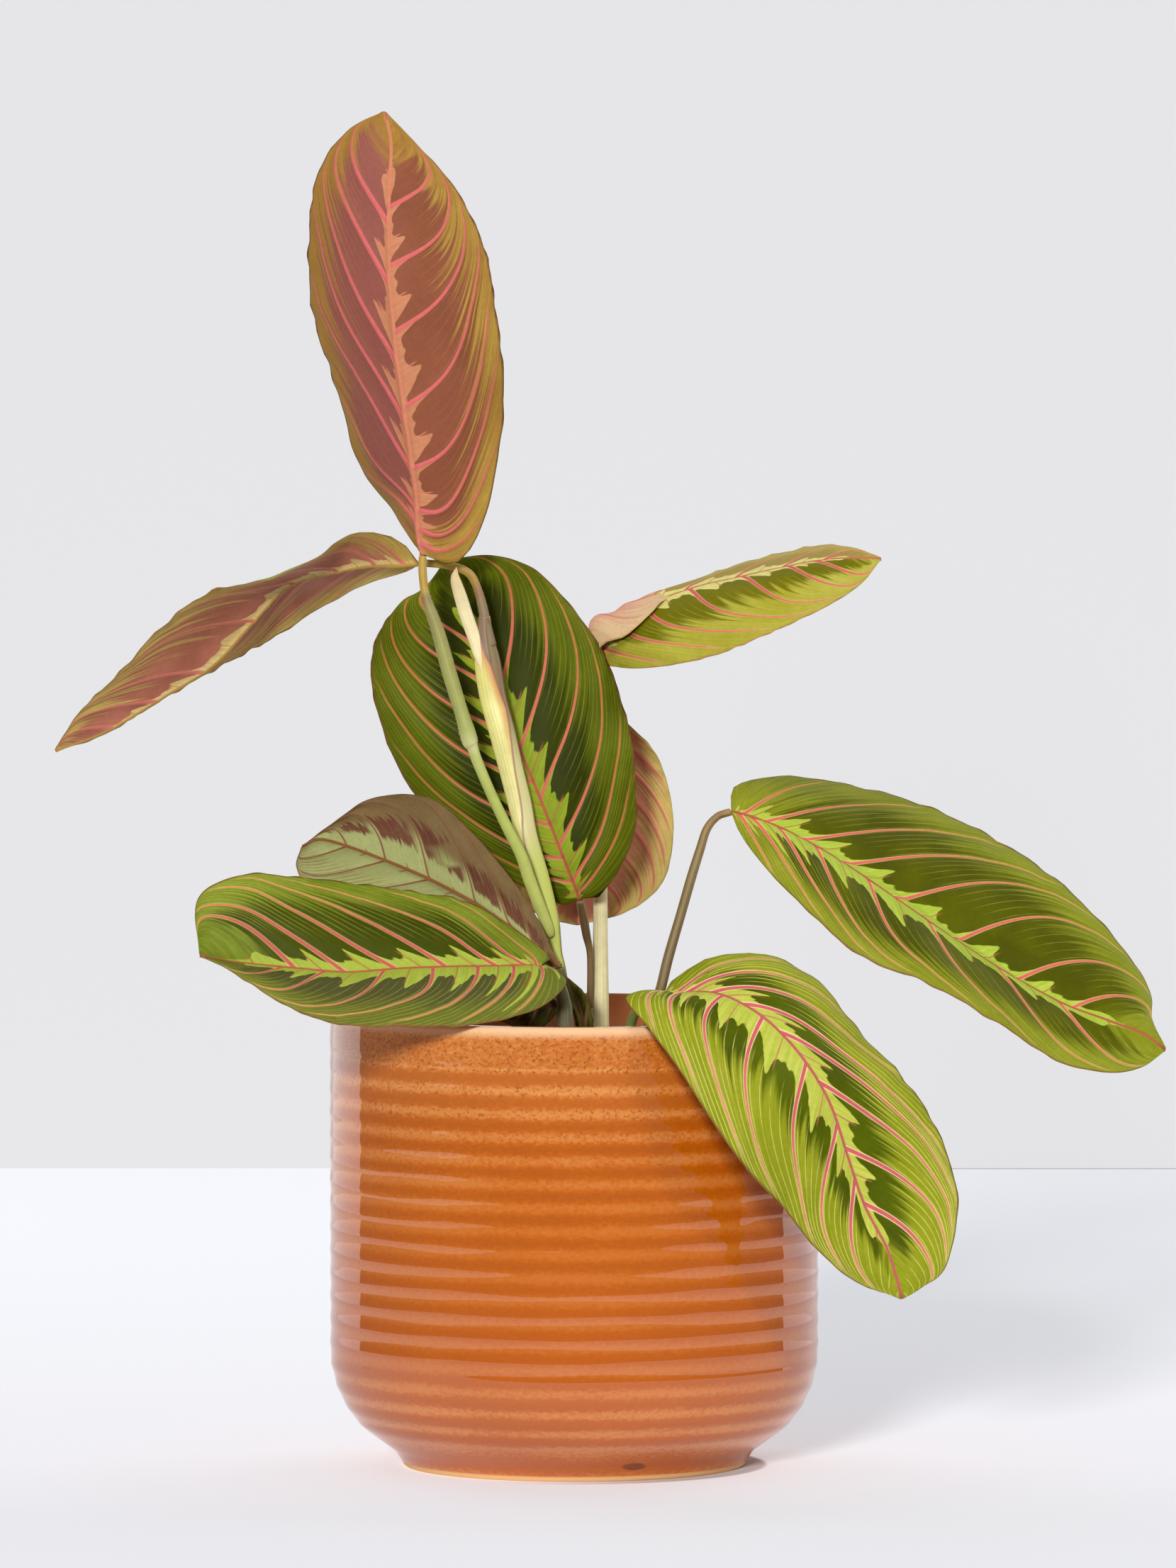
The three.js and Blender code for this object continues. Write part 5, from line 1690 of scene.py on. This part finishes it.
def stalk_material(name, stops, streak, strength, fibres=26.0, length_scale=5.0, roughness=0.42):
    """stops is a list of share of length and colour; streak is the colour of the fibres"""
    material, tree, shader = new_material(name, Specular_IOR_Level=0.45)
    skin = placed(tree, stalk_fibres, {"Fibres": fibres, "Length Scale": length_scale})
    ramp = put(tree, "ValToRGB", {"Fac": skin["Along"]})
    elements = ramp.color_ramp.elements
    while len(elements) < len(stops):
        elements.new(0.5)
    for element, (share, colour) in zip(elements, stops):
        element.position = share
        element.color = paint(*colour)
    lines = times(tree, fade(tree, skin["Fibre"], 0.45, 0.7), strength)
    colour = mix(tree, lines, ramp.outputs["Color"], paint(*streak))
    link(tree, shader, {"Base Color": greyed(tree, colour, scaled(tree, skin["Cloud"], 0.3, 0.85)),
                        "Roughness": scaled(tree, skin["Cloud"], 0.16, roughness - 0.08)})
    add_bump(tree, shader, skin["Fibre"], 0.00015, 0.7)
    return material


print("stalk finish ready")

# %% [markdown]
# The colours of each stalk, from its lower end to its upper end. The highest leaf's stalk shows
# most: smooth light green below a swollen whitish joint, and olive with pale lines above it.

# %% Stalk finishes
STALKS = {
    "petiole_top": ([(0, (190, 196, 100)), (.3, (172, 184, 84)), (.4, (186, 192, 110)),
                     (.46, (212, 210, 150)), (.51, (196, 198, 132)), (.57, (160, 168, 84)),
                     (.7, (150, 150, 78)), (.8, (142, 134, 74)), (.83, (134, 112, 66)),
                     (.87, (178, 144, 52)), (1, (186, 146, 52))],
                    (188, 182, 122), .4),
    "petiole_high_left": ([(0, (136, 118, 86)), (.3, (142, 124, 86)), (.42, (160, 122, 78)),
                           (.5, (182, 148, 56)), (1, (186, 154, 54))], (130, 84, 84), .5),
    "petiole_centre": ([(0, (112, 86, 54)), (.5, (124, 98, 60)), (.6, (96, 74, 44)),
                        (1, (110, 88, 48))], (150, 124, 84), .5),
    "petiole_high_right": ([(0, (150, 146, 80)), (.5, (160, 158, 88)), (1, (186, 160, 80))],
                           (190, 180, 120), .4),
    "petiole_back": ([(0, (130, 110, 66)), (.6, (150, 126, 74)), (1, (176, 130, 84))],
                     (180, 150, 100), .4),
    "petiole_right": ([(0, (104, 84, 44)), (.3, (116, 96, 52)), (.6, (128, 108, 62)),
                       (.8, (140, 112, 58)), (.92, (128, 96, 46)), (1, (150, 120, 58))],
                      (160, 140, 96), .45),
    "petiole_low_right": ([(0, (120, 130, 62)), (.6, (124, 138, 64)), (1, (156, 160, 78))],
                          (170, 170, 110), .4),
    "petiole_mid_left": ([(0, (60, 56, 28)), (.6, (70, 58, 30)), (1, (104, 92, 44))],
                         (96, 84, 50), .4),
    "petiole_low_left": ([(0, (88, 84, 56)), (.5, (100, 98, 66)), (.8, (110, 108, 62)),
                          (1, (130, 130, 66))], (150, 150, 116), .45),
    "stem_thick": ([(0, (222, 214, 158)), (.45, (232, 226, 170)), (.8, (220, 214, 156)),
                    (1, (190, 180, 112))], (200, 160, 132), .5),
}
stalk_finishes = {name: stalk_material(name + "_skin", *setting) for name, setting in STALKS.items()}
print(len(stalk_finishes), "stalk finishes")

# %% [markdown]
# Fine white hairs stand out along the upper stalks. Each is a three sided spike of mesh, so the
# exported model keeps them. They are placed by a seeded draw over the stalk's own skin.

# %% Hairs
HAIR_SEED = 5
HAIR_LENGTH = 0.55
HAIR_RADIUS = 0.022
HAIR_SINK = 0.05
HAIR_CORNERS = (0, 2.094, 4.189)
HAIR_PLACES = 400


def hair_material():
    """White hairs, some a little darker"""
    material, tree, shader = new_material("stalk_hair", Roughness=0.6)
    tone = clouds(tree, object_place(tree), 500.0)
    link(tree, shader, {"Base Color": mix(tree, tone, paint(226, 222, 196), paint(196, 188, 150))})
    return material


hair_finish = hair_material()


def hair_points(rows, count, low, high, random):
    """Spikes over a tube between two shares of its length"""
    frame_parts = tube_frame(rows, HAIR_PLACES)
    picked = (random.uniform(low, high, count) * (HAIR_PLACES - 1)).astype(int)
    centres, across, deep, along, halves = (part[picked] for part in frame_parts)
    angle = random.uniform(0, 2 * math.pi, count)
    c, s = np.cos(angle)[:, None], np.sin(angle)[:, None]
    out = unit(across * c + deep * s)
    root = centres + across * c * halves[:, :1] + deep * s * halves[:, 1:]
    lean = unit(out + along * random.uniform(-0.1, 0.7, (count, 1)))
    side = unit(np.cross(lean, along))
    other = np.cross(lean, side)
    length = HAIR_LENGTH * random.uniform(0.5, 1.2, (count, 1))
    base = root - out * HAIR_SINK
    corners = [base + HAIR_RADIUS * (side * math.cos(turn) + other * math.sin(turn))
               for turn in HAIR_CORNERS]
    return np.stack(corners + [base + lean * length], 1).reshape(-1, 3)


def add_hairs(node, count, low, high, seed):
    """The hairs of one stalk, as a piece of their own"""
    random = np.random.default_rng(seed)
    points = hair_points(stem_rows[node], count, low, high, random)
    first = np.arange(count)[:, None] * 4
    faces = np.concatenate([first + corners for corners in ([0, 1, 3], [1, 2, 3], [2, 0, 3], [2, 1, 0])])
    made = piece(f"{node}_hairs", points, faces.tolist(), {}, [hair_finish], smooth=False)
    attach(made, BODY)
    print(made.name, count)


# %% [markdown]
# The stalks themselves. A shallow channel runs up each one. HAIRS gives the number of hairs on a
# stalk, and the shares of its length between which they stand.

# %% Make the stalks
GROOVE_DEPTH = 0.07
GROOVE_TURN = 0.7
GROOVE_WIDTH = 0.09
HAIRS = {"petiole_top": (520, 0.5, 0.99), "petiole_right": (260, 0.45, 0.98),
         "petiole_high_left": (160, 0.2, 0.98)}


def grooved(share, turn):
    """A radius factor with one shallow channel along the stalk"""
    away = np.abs((turn - GROOVE_TURN + 0.5) % 1 - 0.5)
    return 1 - GROOVE_DEPTH * np.exp(-(away / GROOVE_WIDTH)**2) + 0 * share


for node, finish in stalk_finishes.items():
    made = build_tube(f"{node}_stalk", stem_rows[node], finish, grooved)
    stand_for(made, node)

for order, (node, setting) in enumerate(HAIRS.items(), 1):
    add_hairs(node, *setting, HAIR_SEED + order)

# %% [markdown]
# The thick shoot is a stack of leaf sheaths: each is a pale flat tube whose margin laps over itself
# and shows as a purple line. The tube steps in by a quarter of a millimetre across that line, which
# wanders round the shoot as it climbs.

# %% Sheath
LAP_STEP = 0.07
LAP_EDGE = 0.012
LAP_TURN = [(0, .45), (.3, .46), (.345, .5), (.4, .647), (.472, .75), (.55, .79), (.59, .82), (.66, .88),
            (.74, .80), (.81, .74), (.875, .68), (.94, .56), (1, .46)]
SHEATH = {
    "seam": paint(150, 96, 92), "blush": paint(206, 134, 78), "right": paint(206, 196, 136),
    "low": paint(190, 196, 96), "stalk": paint(140, 122, 84), "streak": paint(120, 78, 78),
}
SHEATH_STOPS = [(0, (96, 84, 44)), (.28, (110, 100, 50)), (.345, (184, 190, 84)),
                (.42, (212, 210, 120)), (.5, (230, 220, 146)), (.7, (228, 220, 132)),
                (.85, (222, 206, 110)), (1, (214, 180, 96))]


def lapped(share, turn):
    """A radius factor that steps down across the lap and recovers round the shoot"""
    at = np.interp(share, *zip(*LAP_TURN))
    away = (turn - at) % 1
    return 1 - LAP_STEP * np.where(away > LAP_EDGE, 1 - away, away / LAP_EDGE)


def sheath_material(name, stops):
    """Cream left of the lap; right of it pale below, and the grey purple of the inner stalk above"""
    material = stalk_material(name, stops, (190, 178, 112), .4, 34.0, 3.0, .4)
    tree = material.node_tree
    shader = tree.nodes["Principled BSDF"].inputs
    base = shader["Base Color"].links[0].from_socket
    skin = next(node for node in tree.nodes if node.type == "GROUP").outputs
    at = curve(tree, skin["Along"], LAP_TURN, "VECTOR")
    turned = calc(tree, "ADD", calc(tree, "SUBTRACT", skin["Turn"], at), 0.5)
    away = calc(tree, "SUBTRACT", calc(tree, "FRACT", turned), 0.5)
    high = fade(tree, skin["Along"], 0.55, 0.67)
    right = times(tree, fade(tree, away, -0.004, 0.006), fade(tree, away, 0.5, 0.4))
    streaks = times(tree, fade(tree, skin["Fibre"], 0.46, 0.6), 0.85)
    below = mix(tree, fade(tree, skin["Along"], 0.46, 0.38), SHEATH["right"], SHEATH["low"])
    inner = mix(tree, high, below, mix(tree, streaks, SHEATH["stalk"], SHEATH["streak"]))
    blush = times(tree, fade(tree, away, -0.13, -0.01), times(tree, high, .85))
    colour = mix(tree, right, mix(tree, blush, base, SHEATH["blush"]), inner)
    seam = times(tree, fade(tree, calc(tree, "ABSOLUTE", away), 0.022, 0.008), 0.7)
    link(tree, shader, {"Base Color": mix(tree, seam, colour, SHEATH["seam"])})
    return material


sheath = build_tube("shoot_sheath_tube", stem_rows["shoot_sheath"],
                    sheath_material("sheath_skin", SHEATH_STOPS), lapped, sides=96)
stand_for(sheath, "shoot_sheath")

# %% [markdown]
# The young leaf is still rolled. It is one thin sheet wound about itself a turn and a half, and its
# point is free. A spiral section along the stations gives it, with its outer edge showing as a lap.

# %% Rolled leaf
ROLL_TURNS = 1.6
ROLL_START = 2.6
ROLL_STEPS = 64
ROLL_RINGS = 60
ROLL_THICKNESS = 0.16
ROLL_STOPS = [(0, (236, 222, 170)), (.5, (240, 226, 178)), (1, (232, 206, 150))]


def build_roll(name, rows, material):
    """A sheet wound along the stations, closed round its edge"""
    centres, across, deep, _, halves = tube_frame(rows, ROLL_RINGS)
    wind = np.linspace(0, 1, ROLL_STEPS)
    angle = ROLL_START + wind * ROLL_TURNS * 2 * math.pi
    sheet = centres[:, None] + oval(across, deep, halves, angle, 0.5 + 0.5 * wind)
    outward = unit(oval(across, deep, np.ones_like(halves), angle, 1))
    inner = sheet - outward * ROLL_THICKNESS * np.minimum(1, halves[:, :1, None])
    faces = np.vstack(blade_faces(ROLL_RINGS, ROLL_STEPS))
    row, column = np.divmod(faces % (ROLL_RINGS * ROLL_STEPS), ROLL_STEPS)
    corners = np.stack([wind[column] * ROLL_TURNS, row / (ROLL_RINGS - 1)], -1)
    points = np.vstack([sheet, inner]).reshape(-1, 3)
    return piece(name, points, faces.tolist(), {"stalk": corners}, [material])


roll_finish = stalk_material("rolled_leaf_skin", ROLL_STOPS, (206, 176, 120), .35, 20.0, 2.0, .45)
stand_for(build_roll("rolled_leaf_sheet", stem_rows["rolled_leaf"], roll_finish), "rolled_leaf")
